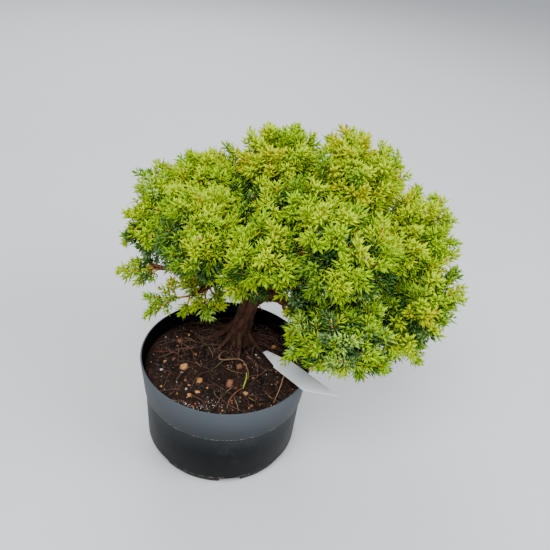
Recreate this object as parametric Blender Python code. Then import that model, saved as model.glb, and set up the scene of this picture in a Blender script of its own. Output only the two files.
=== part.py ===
"""Potted dwarf juniper: a low, spreading conifer in a round plastic nursery pot.

Blender 4.5 script, metres, +Z up. The origin is the centre of the pot's flat underside, and
-Y is the front. Every sub-part is one closed object: the pot, its soil, the trunk with its
surface roots, the boughs, the masses of needle foliage and a blank plant label.
"""

import math
import random
from typing import NamedTuple

import bmesh
import bpy
from mathutils import Vector

CLEARANCE = 0.0003  # gap that touching pieces keep

# Pot: a short round nursery pot with a flared upper band, a foot ledge and drain slots.
POT_HEIGHT = 0.072
RIM_RADIUS = 0.058
BAND_FOOT_Z = 0.046
BAND_FOOT_RADIUS = 0.0555
WALL_TOP_RADIUS = 0.0547
FOOT_LEDGE_Z = 0.0063
FOOT_LEDGE_RADIUS = 0.0533
LEDGE_WIDTH = 0.0007
BASE_RADIUS = 0.051
EDGE_BEVEL = 0.0012
WALL = 0.0014
POT_SIDES = 48
DRAIN_SLOTS = 6
SLOT_WIDTH = 0.0145
SLOT_TOP_Z = 0.0052
SLOT_FIRST_ANGLE = math.radians(-76)

# Soil: fills the pot to a little under the rim, and is level round the foot of the trunk.
SOIL_TOP_Z = 0.060
SOIL_RELIEF = 0.0011
SOIL_RINGS = 4
LEVEL_RADIUS = 0.034
LEVEL_EDGE = 0.012

# Trunk and its surface roots.
TRUNK_FOOT = Vector((0.006, 0.031, SOIL_TOP_Z + CLEARANCE))
TRUNK_POINTS = [
    TRUNK_FOOT,
    Vector((0.0068, 0.0310, 0.068)),
    Vector((0.0090, 0.0302, 0.082)),
    Vector((0.0120, 0.0295, 0.098)),
    Vector((0.0130, 0.0320, 0.116)),
    Vector((0.0125, 0.0370, 0.136)),
    Vector((0.0150, 0.0430, 0.154)),
]
TRUNK_RADII = [0.0118, 0.0084, 0.0068, 0.0062, 0.0052, 0.0040, 0.0026]
TRUNK_SIDES = 12
PATH_STEPS = 2
ROOT_COUNT = 8
ROOT_SIDES = 6
ROOT_REACH = 0.027
ROOT_RISE = 0.017
ROOT_RADIUS = 0.0024
ROOT_LIMIT = 0.050  # no root reaches further than this from the pot's middle
ROOT_COURSE = [(0.07, 1.0), (0.36, 0.50), (0.68, 0.12), (1.0, -0.08)]  # shares of its reach and rise


class Bough(NamedTuple):
    """A limb that leaves its parent's line at a share of the parent's length."""

    parent: str
    share: float
    points: list
    first_radius: float
    last_radius: float


BOUGH_SIDES = 8
BOUGHS = {
    "bough_right": Bough(
        "trunk", 0.46,
        [(0.0235, 0.0245, 0.106), (0.036, 0.019, 0.1075), (0.060, 0.008, 0.108), (0.083, 0.003, 0.114)],
        0.0044, 0.0025,
    ),
    "bough_left_low": Bough(
        "trunk", 0.49,
        [(0.000, 0.0270, 0.111), (-0.012, 0.025, 0.1125), (-0.021, 0.0236, 0.106), (-0.029, 0.0226, 0.1005)],
        0.0036, 0.0021,
    ),
    "bough_left_tip": Bough(
        "bough_left_low", 0.42,
        [(-0.023, 0.0245, 0.1165), (-0.040, 0.0255, 0.1180), (-0.056, 0.0270, 0.1165)],
        0.0023, 0.0014,
    ),
    "bough_left": Bough(
        "trunk", 0.63,
        [(-0.002, 0.0345, 0.124), (-0.016, 0.037, 0.131), (-0.030, 0.037, 0.134)],
        0.0034, 0.0023,
    ),
    "bough_front": Bough("trunk", 0.60, [(0.0155, 0.0185, 0.122), (0.017, 0.010, 0.132)], 0.0032, 0.0021),
    "bough_front_left": Bough("trunk", 0.76, [(0.002, 0.030, 0.143), (-0.006, 0.025, 0.150)], 0.0028, 0.0019),
    "bough_centre_right": Bough(
        "trunk", 0.70, [(0.027, 0.025, 0.138), (0.038, 0.012, 0.149)], 0.0030, 0.0020
    ),
    "bough_centre": Bough("trunk", 0.90, [(0.0215, 0.0355, 0.157), (0.0255, 0.0315, 0.163)], 0.0023, 0.0016),
    "bough_top_left": Bough("trunk", 0.86, [(0.003, 0.047, 0.157), (-0.006, 0.050, 0.163)], 0.0025, 0.0017),
    "bough_top_right": Bough("trunk", 0.82, [(0.032, 0.041, 0.158), (0.052, 0.043, 0.173)], 0.0029, 0.0019),
    "bough_back_left": Bough("trunk", 0.55, [(0.0035, 0.048, 0.116), (-0.009, 0.062, 0.123)], 0.0033, 0.0021),
    "bough_back": Bough("trunk", 0.68, [(0.014, 0.053, 0.133), (0.018, 0.074, 0.139)], 0.0032, 0.0021),
    "bough_back_right": Bough(
        "trunk", 0.38,
        [(0.024, 0.044, 0.104), (0.042, 0.058, 0.116), (0.056, 0.068, 0.128)],
        0.0039, 0.0023,
    ),
    "bough_front_right": Bough(
        "bough_right", 0.50, [(0.049, 0.003, 0.1085), (0.055, -0.004, 0.111)], 0.0026, 0.0019
    ),
    "bough_right_high": Bough(
        "bough_right", 0.72, [(0.074, 0.018, 0.127), (0.086, 0.024, 0.140)], 0.0026, 0.0019
    ),
    "bough_right_back": Bough(
        "bough_back_right", 0.48, [(0.060, 0.051, 0.108), (0.078, 0.054, 0.112)], 0.0027, 0.0018
    ),
}


class Mass(NamedTuple):
    """A mass of foliage: the limb whose tip carries it, and the space that it fills."""

    carrier: str
    centre: tuple
    reach: tuple
    sprays: int
    dense: bool = True


MASSES = {
    "foliage_left_low": Mass("bough_left_low", (-0.039, 0.018, 0.096), (0.032, 0.018, 0.018), 10, False),
    "foliage_left_tip": Mass("bough_left_tip", (-0.067, 0.027, 0.1155), (0.019, 0.014, 0.011), 6, False),
    "foliage_left": Mass("bough_left", (-0.050, 0.039, 0.147), (0.035, 0.040, 0.036), 9),
    "foliage_front_left": Mass("bough_front_left", (-0.018, 0.006, 0.160), (0.038, 0.037, 0.036), 8),
    "foliage_front": Mass("bough_front", (0.020, -0.008, 0.157), (0.038, 0.037, 0.037), 8),
    "foliage_centre": Mass("bough_centre", (0.032, 0.026, 0.173), (0.034, 0.034, 0.031), 6),
    "foliage_centre_right": Mass("bough_centre_right", (0.063, -0.011, 0.168), (0.041, 0.037, 0.037), 9),
    "foliage_top_left": Mass("bough_top_left", (-0.023, 0.058, 0.167), (0.042, 0.040, 0.032), 8),
    "foliage_top": Mass("trunk", (0.022, 0.062, 0.184), (0.041, 0.040, 0.034), 9),
    "foliage_top_right": Mass("bough_top_right", (0.072, 0.047, 0.185), (0.041, 0.041, 0.036), 9),
    "foliage_right": Mass("bough_right_high", (0.111, 0.027, 0.157), (0.039, 0.041, 0.038), 10),
    "foliage_right_low": Mass("bough_right", (0.117, -0.003, 0.122), (0.038, 0.037, 0.037), 9),
    "foliage_front_right": Mass("bough_front_right", (0.072, -0.022, 0.117), (0.039, 0.034, 0.037), 9),
    "foliage_back_left": Mass("bough_back_left", (-0.034, 0.088, 0.138), (0.043, 0.037, 0.038), 8),
    "foliage_back": Mass("bough_back", (0.024, 0.104, 0.149), (0.044, 0.037, 0.038), 8),
    "foliage_back_right": Mass("bough_back_right", (0.078, 0.090, 0.149), (0.044, 0.040, 0.041), 9),
    "foliage_right_back": Mass("bough_right_back", (0.107, 0.056, 0.123), (0.037, 0.036, 0.033), 8),
}
FIRST_SEED = 20
CELL_GAP = 0.0005  # half the space kept between two masses
LIMB_GAP = 0.0007  # space kept between a spray of needles and a limb
CORE_LIMB_GAP = 0.0036  # space kept between a tuft's axis and a limb
CORE_TUFTS = 58  # pointed tufts on the solid heart of a dense mass
TUFT_SHARE = (0.80, 0.98)  # their tips, as shares of the mass's reach
HOLLOW_SHARE = (0.50, 0.60)  # the hollows between them
HOLLOW_ROOM = 0.80  # and the most of the room beside a neighbour that a hollow takes
SPRAY_LENGTH = 0.021
SPRAY_SPREAD = 0.0052
SPRAY_CORE = 0.28  # the slim core's radius, as a share of the spread
SPRAY_LIFT = 0.25  # how far sprays turn upwards
WHORLS = [(0.40, 1.0), (0.70, 0.82)]  # each whorl's place along the spray and its share of the spread
NEEDLE_LEAN = 0.15  # how far a needle's point leans ahead, as a share of the spray's length
STEM_SIDES = 6
STEM_END_RADIUS = 0.0014
TWIG_SIDES = 4
TWIG_RADII = [0.0010, 0.0008]

# Blank plant label: a pointed strip that lies from the soil out over the rim.
LABEL_TIP = Vector((0.0262, 0.0170, SOIL_TOP_Z + SOIL_RELIEF + CLEARANCE))
LABEL_OVER_RIM = Vector((0.0535, -0.0213, POT_HEIGHT + 0.0017))
LABEL_ROLL = math.radians(4)
LABEL_LENGTH = 0.078
LABEL_WIDTH = 0.0135
LABEL_POINT = 0.021
LABEL_TIP_WIDTH = 0.0034
LABEL_SHOULDER = 0.0012
LABEL_END_SLANT = 0.020
LABEL_THICKNESS = 0.0006


def clear_scene():
    for obj in list(bpy.data.objects):
        bpy.data.objects.remove(obj, do_unlink=True)


def material(name, colour, roughness):
    made = bpy.data.materials.new(name)
    made.use_nodes = True
    shader = made.node_tree.nodes["Principled BSDF"]
    shader.inputs["Base Color"].default_value = (*colour, 1.0)
    shader.inputs["Roughness"].default_value = roughness
    shader.inputs["Metallic"].default_value = 0.0
    return made


def object_from(bm, name, finish, collection=None, smooth=True):
    """A new object holding the bmesh, with its faces turned outwards."""
    bmesh.ops.recalc_face_normals(bm, faces=bm.faces)
    mesh = bpy.data.meshes.new(name)
    bm.to_mesh(mesh)
    bm.free()
    mesh.materials.append(finish)
    if smooth:
        mesh.shade_smooth()
        mesh.set_sharp_from_angle(angle=math.radians(40))
    obj = bpy.data.objects.new(name, mesh)
    (collection or bpy.context.scene.collection).objects.link(obj)
    return obj


def boolean(obj, operation, other, solver="EXACT"):
    """Joins or cuts obj with an object or a collection, applies it and removes what was used."""
    step = obj.modifiers.new(operation.lower(), "BOOLEAN")
    step.operation = operation
    step.solver = solver
    if isinstance(other, bpy.types.Collection):
        step.operand_type = "COLLECTION"
        step.collection = other
        used = list(other.objects)
    else:
        step.object = other
        used = [other]
    graph = bpy.context.evaluated_depsgraph_get()
    result = bpy.data.meshes.new_from_object(obj.evaluated_get(graph), depsgraph=graph)
    obj.modifiers.clear()
    before = obj.data
    obj.data = result
    bpy.data.meshes.remove(before)
    for tool in used:
        bpy.data.objects.remove(tool, do_unlink=True)
    if isinstance(other, bpy.types.Collection):
        bpy.data.collections.remove(other)


def work_collection(name):
    made = bpy.data.collections.new(name)
    bpy.context.scene.collection.children.link(made)
    return made


def connected_parts(bm):
    """The mesh's vertices, grouped by what is joined."""
    left = set(bm.verts)
    groups = []
    while left:
        group = [left.pop()]
        for vert in group:
            for edge in vert.link_edges:
                neighbour = edge.other_vert(vert)
                if neighbour in left:
                    left.remove(neighbour)
                    group.append(neighbour)
        groups.append(group)
    return groups


def keep_largest(obj):
    """Drops the loose scraps that a cut or a join leaves."""
    bm = bmesh.new()
    bm.from_mesh(obj.data)
    for scrap in sorted(connected_parts(bm), key=len)[:-1]:
        bmesh.ops.delete(bm, geom=scrap, context="VERTS")
    bm.to_mesh(obj.data)
    bm.free()


def turned(profile, sides):
    """A closed solid of revolution about Z from (radius, height) points that start and end on it."""
    bm = bmesh.new()
    rings = []
    for radius, z in profile:
        if radius == 0:
            rings.append([bm.verts.new((0.0, 0.0, z))])
            continue
        angles = [2 * math.pi * i / sides for i in range(sides)]
        rings.append([bm.verts.new((radius * math.cos(a), radius * math.sin(a), z)) for a in angles])
    for low, high in zip(rings, rings[1:]):
        for i in range(sides):
            j = (i + 1) % sides
            corners = [low[i % len(low)], low[j % len(low)], high[j % len(high)], high[i % len(high)]]
            bm.faces.new(list(dict.fromkeys(corners)))
    return bm


def smooth_path(points, steps):
    """Catmull-Rom points through the given ones, with `steps` intervals between each two."""
    ends = [2 * points[0] - points[1], *points, 2 * points[-1] - points[-2]]
    path = []
    for a, b, c, d in zip(ends, ends[1:], ends[2:], ends[3:]):
        for step in range(steps):
            t = step / steps
            bend = (2 * a - 5 * b + 4 * c - d) * t**2 + (3 * b - a - 3 * c + d) * t**3
            path.append(0.5 * (2 * b + (c - a) * t + bend))
    return [*path, points[-1].copy()]


def along(values, share):
    """The value at a share of the way through a list, in straight steps between its entries."""
    place = min(max(share, 0.0), 1.0) * (len(values) - 1)
    low = min(int(place), len(values) - 2)
    return values[low] + (values[low + 1] - values[low]) * (place - low)


def frames(path):
    """Two directions across the path at each of its points, carried along it without a twist."""
    tangents = []
    for i in range(len(path)):
        ahead = path[min(i + 1, len(path) - 1)] - path[max(i - 1, 0)]
        tangents.append(ahead.normalized())
    across = tangents[0].orthogonal().normalized()
    found = []
    for tangent in tangents:
        across = (across - tangent * across.dot(tangent)).normalized()
        found.append((across.copy(), tangent.cross(across)))
    return found


def tube(path, radii, sides):
    """A closed tapered tube along the path."""
    bm = bmesh.new()
    rings = []
    for i, (centre, (u, v)) in enumerate(zip(path, frames(path))):
        radius = along(radii, i / (len(path) - 1))
        angles = [2 * math.pi * k / sides for k in range(sides)]
        rings.append([bm.verts.new(centre + (u * math.cos(a) + v * math.sin(a)) * radius) for a in angles])
    for low, high in zip(rings, rings[1:]):
        for k in range(sides):
            bm.faces.new((low[k], low[(k + 1) % sides], high[(k + 1) % sides], high[k]))
    bm.faces.new(list(reversed(rings[0])))
    bm.faces.new(rings[-1])
    return bm


def box(low, high):
    bm = bmesh.new()
    bmesh.ops.create_cube(bm, size=1.0)
    for vert in bm.verts:
        vert.co = Vector((high[i] if vert.co[i] > 0 else low[i] for i in range(3)))
    return bm


# ---------------------------------------------------------------- pot and soil


def inner_radius(z):
    """The radius of the pot's inner wall at a height."""
    floor_radius = BASE_RADIUS - WALL / 2
    share = (z - WALL) / (POT_HEIGHT - WALL)
    return floor_radius + (RIM_RADIUS - WALL - floor_radius) * share


def make_pot(plastic):
    profile = [
        (0.0, 0.0),
        (BASE_RADIUS - EDGE_BEVEL, 0.0),
        (BASE_RADIUS, EDGE_BEVEL),
        (FOOT_LEDGE_RADIUS - LEDGE_WIDTH, FOOT_LEDGE_Z),
        (FOOT_LEDGE_RADIUS, FOOT_LEDGE_Z + LEDGE_WIDTH / 2),
        (WALL_TOP_RADIUS, BAND_FOOT_Z - LEDGE_WIDTH / 2),
        (BAND_FOOT_RADIUS, BAND_FOOT_Z + LEDGE_WIDTH / 2),
        (RIM_RADIUS, POT_HEIGHT - EDGE_BEVEL / 2),
        (RIM_RADIUS - EDGE_BEVEL / 3, POT_HEIGHT),
        (RIM_RADIUS - WALL, POT_HEIGHT),
        (inner_radius(BAND_FOOT_Z), BAND_FOOT_Z),
        (inner_radius(WALL), WALL),
        (0.0, WALL),
    ]
    pot = object_from(turned(profile, POT_SIDES), "pot", plastic)
    slots = work_collection("slots")
    low = (BASE_RADIUS - SLOT_TOP_Z, -SLOT_WIDTH / 2, -WALL)
    high = (RIM_RADIUS, SLOT_WIDTH / 2, SLOT_TOP_Z)
    for i in range(DRAIN_SLOTS):
        slot = object_from(box(low, high), f"slot_{i}", plastic, slots, smooth=False)
        slot.rotation_euler.z = SLOT_FIRST_ANGLE + 2 * math.pi * i / DRAIN_SLOTS
    bpy.context.view_layer.update()
    boolean(pot, "DIFFERENCE", slots)


def soil_height(x, y):
    """The soil's top: low ripples, level round the foot of the trunk."""
    away = math.hypot(x - TRUNK_FOOT.x, y - TRUNK_FOOT.y)
    share = min(max((away - LEVEL_RADIUS) / LEVEL_EDGE, 0.0), 1.0)
    ripple = 0.5 + 0.25 * math.sin(230 * x + 1.1) + 0.25 * math.cos(190 * y - 0.4 + 60 * x)
    return SOIL_TOP_Z + SOIL_RELIEF * share * ripple


def make_soil(earth):
    floor_z = WALL + CLEARANCE
    edge = inner_radius(SOIL_TOP_Z) - CLEARANCE
    profile = [
        (0.0, floor_z),
        (inner_radius(floor_z) - CLEARANCE, floor_z),
        (inner_radius(BAND_FOOT_Z) - CLEARANCE, BAND_FOOT_Z),
        *[(edge * (SOIL_RINGS - k) / SOIL_RINGS, SOIL_TOP_Z) for k in range(SOIL_RINGS)],
        (0.0, SOIL_TOP_Z),
    ]
    bm = turned(profile, POT_SIDES)
    for vert in bm.verts:
        if vert.co.z > BAND_FOOT_Z + WALL and vert.co.xy.length < edge - WALL:
            vert.co.z = soil_height(vert.co.x, vert.co.y)
    object_from(bm, "soil", earth)


# ---------------------------------------------------------------- trunk, roots and boughs


def plan_limbs():
    """name -> (path, radii) of the trunk and of each bough, whose first point is on its parent's line."""
    limbs = {"trunk": (smooth_path(TRUNK_POINTS, PATH_STEPS), TRUNK_RADII)}
    for name, bough in BOUGHS.items():
        start = along(limbs[bough.parent][0], bough.share)
        path = smooth_path([start, *map(Vector, bough.points)], PATH_STEPS)
        limbs[name] = (path, [bough.first_radius, bough.last_radius])
    return limbs


def root(angle, dice):
    """A surface root that leaves the trunk's flare and runs down into the soil."""
    outward = Vector((math.cos(angle), math.sin(angle), 0))
    sideways = Vector((-outward.y, outward.x, 0)) * dice.uniform(-0.004, 0.004)
    reach = ROOT_REACH * dice.uniform(0.72, 1.0)
    rise = ROOT_RISE * dice.uniform(0.55, 1.0)
    while (TRUNK_FOOT + outward * reach).xy.length > ROOT_LIMIT:
        reach *= 0.95
    points = []
    for out, up in ROOT_COURSE:
        points.append(TRUNK_FOOT + outward * out * reach + sideways * out**2 + Vector((0, 0, up * rise)))
    thick = ROOT_RADIUS * dice.uniform(0.8, 1.15)
    return tube(smooth_path(points, PATH_STEPS), [thick, thick * 0.85, thick * 0.5], ROOT_SIDES)


def make_trunk(limbs, bark):
    """The trunk with its roots joined on, cut flat at the ground."""
    path, radii = limbs["trunk"]
    low = [path[0] - Vector((0, 0, ROOT_RADIUS)), *path[1:]]
    trunk = object_from(tube(low, radii, TRUNK_SIDES), "trunk", bark)
    roots = work_collection("roots")
    dice = random.Random(4)
    for i in range(ROOT_COUNT):
        angle = 2 * math.pi * (i + 0.5 * dice.random()) / ROOT_COUNT
        object_from(root(angle, dice), f"root_{i}", bark, roots)
    boolean(trunk, "UNION", roots)
    ground = box((-RIM_RADIUS, -RIM_RADIUS, 0), (RIM_RADIUS, RIM_RADIUS * 2, TRUNK_FOOT.z))
    boolean(trunk, "DIFFERENCE", object_from(ground, "ground", bark, smooth=False))


def make_boughs(limbs, bark):
    """Each bough starts inside its parent and is cut by the parent grown by the clearance."""
    for name, bough in BOUGHS.items():
        path, radii = limbs[name]
        limb = object_from(tube(path, radii, BOUGH_SIDES), name, bark)
        path, radii = limbs[bough.parent]
        grown = [radius + CLEARANCE for radius in radii]
        sides = TRUNK_SIDES if bough.parent == "trunk" else BOUGH_SIDES
        boolean(limb, "DIFFERENCE", object_from(tube(path, grown, sides), f"cutter_{name}", bark))
        keep_largest(limb)


# ---------------------------------------------------------------- foliage


class Cell(NamedTuple):
    """The space of a mass: an ellipsoid cut by planes, each a point and an outward normal."""

    centre: Vector
    reach: tuple
    planes: list


def full_reach(cell, direction):
    """The distance from the ellipsoid's centre to its surface along a unit direction."""
    return 1 / math.sqrt(sum((direction[i] / cell.reach[i]) ** 2 for i in range(3)))


def plan_cells():
    """name -> the space of each mass, which a plane parts from each neighbour's."""
    cells = {name: Cell(Vector(mass.centre), mass.reach, []) for name, mass in MASSES.items()}
    for cell in cells.values():
        for other in cells.values():
            if cell is other:
                continue
            apart = other.centre - cell.centre
            towards = apart.normalized()
            own = full_reach(cell, towards)
            facing = full_reach(other, towards)
            middle = cell.centre + towards * (apart.length * own / (own + facing) - CELL_GAP)
            cell.planes.append((middle, towards))
    return cells


def room_along(cell, direction):
    """How far a cell reaches from its centre along a unit direction."""
    room = full_reach(cell, direction)
    for point, normal in cell.planes:
        slope = direction.dot(normal)
        if slope > 0:
            room = min(room, (point - cell.centre).dot(normal) / slope)
    return room


def inside(cell, point):
    offset = point - cell.centre
    if sum((offset[i] / cell.reach[i]) ** 2 for i in range(3)) > 1.0:
        return False
    return all((point - middle).dot(normal) <= 0 for middle, normal in cell.planes)


def clear_of_limbs(limbs, point, gap):
    """True if a point keeps the gap to every limb."""
    for path, radii in limbs.values():
        steps = len(path) - 1
        for i, (a, b) in enumerate(zip(path, path[1:])):
            run = b - a
            share = min(max((point - a).dot(run) / run.length_squared, 0.0), 1.0)
            if (point - a - run * share).length < along(radii, (i + share) / steps) + gap:
                return False
    return True


def clear_segment(limbs, start, end, gap, checks=6):
    return all(clear_of_limbs(limbs, start.lerp(end, i / checks), gap) for i in range(checks + 1))


def even_directions(count, dice):
    """Directions spread evenly over a sphere, each moved a little."""
    golden = math.pi * (3 - math.sqrt(5))
    turn = dice.uniform(0, 2 * math.pi)
    for i in range(count):
        z = 1 - 2 * (i + 0.5) / count
        flat = math.sqrt(1 - z * z)
        angle = golden * i + turn
        shift = Vector((dice.gauss(0, 0.09), dice.gauss(0, 0.09), dice.gauss(0, 0.09)))
        yield (Vector((flat * math.cos(angle), flat * math.sin(angle), z)) + shift).normalized()


def spray(base, tip, spread, turn):
    """A spray of needles: a slim core with whorls of three needles that stand out of it."""
    bm = bmesh.new()
    axis = tip - base
    u = axis.orthogonal().normalized()
    v = axis.normalized().cross(u)
    rings = []
    for number, (place, share) in enumerate(WHORLS):
        ring = []
        for k in range(6):
            needle = (k + number) % 2 == 0
            angle = turn + math.pi / 3 * k
            out = spread * (share if needle else SPRAY_CORE)
            ahead = place + (NEEDLE_LEAN if needle else 0.0)
            ring.append(bm.verts.new(base + axis * ahead + (u * math.cos(angle) + v * math.sin(angle)) * out))
        rings.append(ring)
    foot = bm.verts.new(base)
    point = bm.verts.new(tip)
    for low, high in zip(rings, rings[1:]):
        for k in range(6):
            bm.faces.new((low[k], low[(k + 1) % 6], high[(k + 1) % 6], high[k]))
    for k in range(6):
        bm.faces.new((rings[-1][k], rings[-1][(k + 1) % 6], point))
        bm.faces.new((rings[0][(k + 1) % 6], rings[0][k], foot))
    bmesh.ops.triangulate(bm, faces=bm.faces)
    return bm


def core(cell, limbs, dice):
    """The solid heart of a dense mass: pointed tufts all round, in its space and clear of the limbs.

    Poking each face of the tufts' hull and turning its edges leaves every tuft a cone of its own.
    """
    bm = bmesh.new()
    tufts = [bm.verts.new(direction) for direction in even_directions(CORE_TUFTS, dice)]
    bmesh.ops.convex_hull(bm, input=bm.verts)
    ridges = list(bm.edges)
    bmesh.ops.poke(bm, faces=bm.faces)
    bmesh.ops.rotate_edges(bm, edges=ridges)
    tufts = set(tufts)
    for vert in bm.verts:
        direction = vert.co.normalized()
        room = room_along(cell, direction)
        if vert in tufts:
            out = room * dice.uniform(*TUFT_SHARE)
        else:
            out = min(full_reach(cell, direction) * dice.uniform(*HOLLOW_SHARE), room * HOLLOW_ROOM)
        while out > STEM_END_RADIUS * 2:
            if clear_segment(limbs, cell.centre, cell.centre + direction * out, CORE_LIMB_GAP):
                break
            out *= 0.9
        vert.co = cell.centre + direction * out
    return bm


def make_mass(name, mass, cell, limbs, leaf, dice):
    """One mass: a stem from the limb's tip, twigs from the stem, and a needle spray on each twig."""
    path, radii = limbs[mass.carrier]
    ahead = (path[-1] - path[-2]).normalized()
    start = path[-1] + ahead * CLEARANCE
    bend = start + ahead * 0.006
    stem_radius = radii[-1] * 0.8
    course = [start, bend, bend.lerp(cell.centre, 0.6), cell.centre]
    stem = tube(course, [stem_radius, stem_radius * 0.9, STEM_END_RADIUS], STEM_SIDES)
    pieces = work_collection(f"{name}_pieces")
    if mass.dense:
        joined = object_from(core(cell, limbs, dice), name, leaf, smooth=False)
        object_from(stem, f"{name}_stem", leaf, pieces)
    else:
        joined = object_from(stem, name, leaf, smooth=False)
    for number, direction in enumerate(even_directions(mass.sprays, dice)):
        room = room_along(cell, direction)
        end = cell.centre + direction * room * dice.uniform(0.93, 0.995)
        lean = (direction + Vector((0, 0, SPRAY_LIFT))).normalized()
        length = min(SPRAY_LENGTH * dice.uniform(0.85, 1.15), room * 0.78)
        base = end - lean * length
        spread = SPRAY_SPREAD * dice.uniform(0.85, 1.1)
        bm = spray(base, end, spread, dice.uniform(0, math.pi))
        fits = all(inside(cell, vert.co) for vert in bm.verts)
        if not fits or not clear_segment(limbs, base, end, spread * 0.6 + LIMB_GAP):
            bm.free()
            continue
        object_from(bm, f"{name}_spray_{number}", leaf, pieces, smooth=False)
        if not mass.dense:
            fork = start.lerp(cell.centre, dice.uniform(0.45, 1.0))
            twig = [fork, fork.lerp(base, 0.6), base + lean * length * 0.3]
            object_from(tube(twig, TWIG_RADII, TWIG_SIDES), f"{name}_twig_{number}", leaf, pieces)
    boolean(joined, "UNION", pieces, solver="MANIFOLD")
    keep_largest(joined)
    joined.data.shade_flat()


def make_foliage(limbs, leaf):
    cells = plan_cells()
    for number, (name, mass) in enumerate(MASSES.items()):
        make_mass(name, mass, cells[name], limbs, leaf, random.Random(FIRST_SEED + number))


# ---------------------------------------------------------------- label


def make_label(plastic):
    """A blank label: a pointed strip with small shoulders and a slanted end."""
    ahead = (LABEL_OVER_RIM - LABEL_TIP).normalized()
    side = Vector((0, 0, 1)).cross(ahead).normalized()
    side = (side * math.cos(LABEL_ROLL) + ahead.cross(side) * math.sin(LABEL_ROLL)).normalized()
    up = ahead.cross(side)
    half = LABEL_WIDTH / 2
    neck = half - LABEL_SHOULDER
    shoulder = LABEL_POINT + LABEL_SHOULDER
    outline = [
        (0.0, -LABEL_TIP_WIDTH / 2),
        (LABEL_POINT, -neck),
        (shoulder, -half),
        (LABEL_LENGTH - LABEL_END_SLANT, -half),
        (LABEL_LENGTH, half),
        (shoulder, half),
        (LABEL_POINT, neck),
        (0.0, LABEL_TIP_WIDTH / 2),
    ]
    bm = bmesh.new()
    face = bm.faces.new([bm.verts.new(LABEL_TIP + ahead * x + side * y) for x, y in outline])
    raised = bmesh.ops.extrude_face_region(bm, geom=[face])
    for item in raised["geom"]:
        if isinstance(item, bmesh.types.BMVert):
            item.co += up * LABEL_THICKNESS
    object_from(bm, "label", plastic, smooth=False)


def main():
    clear_scene()
    plastic = material("black_plastic", (0.028, 0.032, 0.036), 0.42)
    earth = material("potting_soil", (0.045, 0.026, 0.016), 0.95)
    bark = material("bark", (0.20, 0.085, 0.045), 0.88)
    leaf = material("needles", (0.28, 0.45, 0.04), 0.55)
    white = material("white_plastic", (0.80, 0.82, 0.84), 0.40)
    make_pot(plastic)
    make_soil(earth)
    limbs = plan_limbs()
    make_trunk(limbs, bark)
    make_boughs(limbs, bark)
    make_foliage(limbs, leaf)
    make_label(white)


main()
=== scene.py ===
"""Looks of a potted dwarf juniper: its pot, compost, wood, blank label and needles.

Blender 4.5 script, metres, +Z up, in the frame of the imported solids. -Y is the front. Tables of
places say where they are in millimetres. Each section below makes one piece or one group of like
pieces, in the order in which the real plant is put together, and every piece rides on the one
body, root.
"""

import collections
import math
import random

import bpy
import numpy as np
from mathutils import Matrix, Vector, noise


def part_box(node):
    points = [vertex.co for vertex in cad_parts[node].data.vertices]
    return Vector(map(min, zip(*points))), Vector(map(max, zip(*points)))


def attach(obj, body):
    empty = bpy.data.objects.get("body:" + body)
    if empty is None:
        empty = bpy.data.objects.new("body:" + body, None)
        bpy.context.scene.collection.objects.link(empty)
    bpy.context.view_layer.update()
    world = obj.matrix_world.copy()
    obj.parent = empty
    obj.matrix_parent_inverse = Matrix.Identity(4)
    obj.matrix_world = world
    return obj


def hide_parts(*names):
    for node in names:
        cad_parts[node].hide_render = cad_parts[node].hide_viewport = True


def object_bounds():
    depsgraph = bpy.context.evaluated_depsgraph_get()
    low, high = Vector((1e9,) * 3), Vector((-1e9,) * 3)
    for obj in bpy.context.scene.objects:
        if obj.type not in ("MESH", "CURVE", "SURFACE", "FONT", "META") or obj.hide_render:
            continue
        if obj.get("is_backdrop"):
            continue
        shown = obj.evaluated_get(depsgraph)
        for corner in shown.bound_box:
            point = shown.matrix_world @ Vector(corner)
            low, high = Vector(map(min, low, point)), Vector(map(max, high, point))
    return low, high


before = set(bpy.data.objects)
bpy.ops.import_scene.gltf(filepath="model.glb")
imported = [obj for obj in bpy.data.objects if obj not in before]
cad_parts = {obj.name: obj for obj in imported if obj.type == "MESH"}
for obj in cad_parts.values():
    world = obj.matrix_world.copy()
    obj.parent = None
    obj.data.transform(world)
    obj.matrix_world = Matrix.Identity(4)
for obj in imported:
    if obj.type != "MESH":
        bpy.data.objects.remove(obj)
cad_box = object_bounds()

# ---------------------------------------------------------------- pot
# A round nursery pot of thin black plastic, moulded in one: a flared upper band, a fine ledge above
# the foot and slots in the foot's edge that let water out. Dust and dried lime sit on its ledges.

POT_SIDES = 144
POT_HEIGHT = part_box("pot")[1].z
RIM_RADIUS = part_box("pot")[1].x
BAND_FOOT_Z = 0.046
BAND_FOOT_RADIUS = 0.0555
WALL_TOP_RADIUS = 0.0547
FOOT_LEDGE_Z = 0.0063
FOOT_LEDGE_RADIUS = 0.0533
LEDGE_WIDTH = 0.0007
BASE_RADIUS = 0.051
EDGE_ROUND = 0.0012
WALL = 0.0014
DRAIN_SLOTS = 6
SLOT_WIDTH = 0.0145
SLOT_TOP_Z = 0.0052
SLOT_FIRST_ANGLE = math.radians(-76)
PAINTED_SHEEN_BANDS = [  # from and to a height, how strongly a painted sheen lightens the black
    (0.024, 0.072, 0.60),
    (BAND_FOOT_Z - 0.001, BAND_FOOT_Z + 0.001, 0.08),
    (BAND_FOOT_Z, 0.076, 0.72),
]
DIRTY_LINES = {BAND_FOOT_Z: 0.49, FOOT_LEDGE_Z: 0.48}  # and the share that stays clean
DIRT_WIDTH = 0.0010


def select_only(*objects):
    """Leaves just these objects selected, the first of them active."""
    bpy.ops.object.select_all(action="DESELECT")
    for obj in objects:
        obj.select_set(True)
    bpy.context.view_layer.objects.active = objects[0]


def start_from(add_primitive, **settings):
    """A new primitive, the only thing selected."""
    bpy.ops.object.select_all(action="DESELECT")
    add_primitive(**settings)
    return bpy.context.active_object


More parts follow.
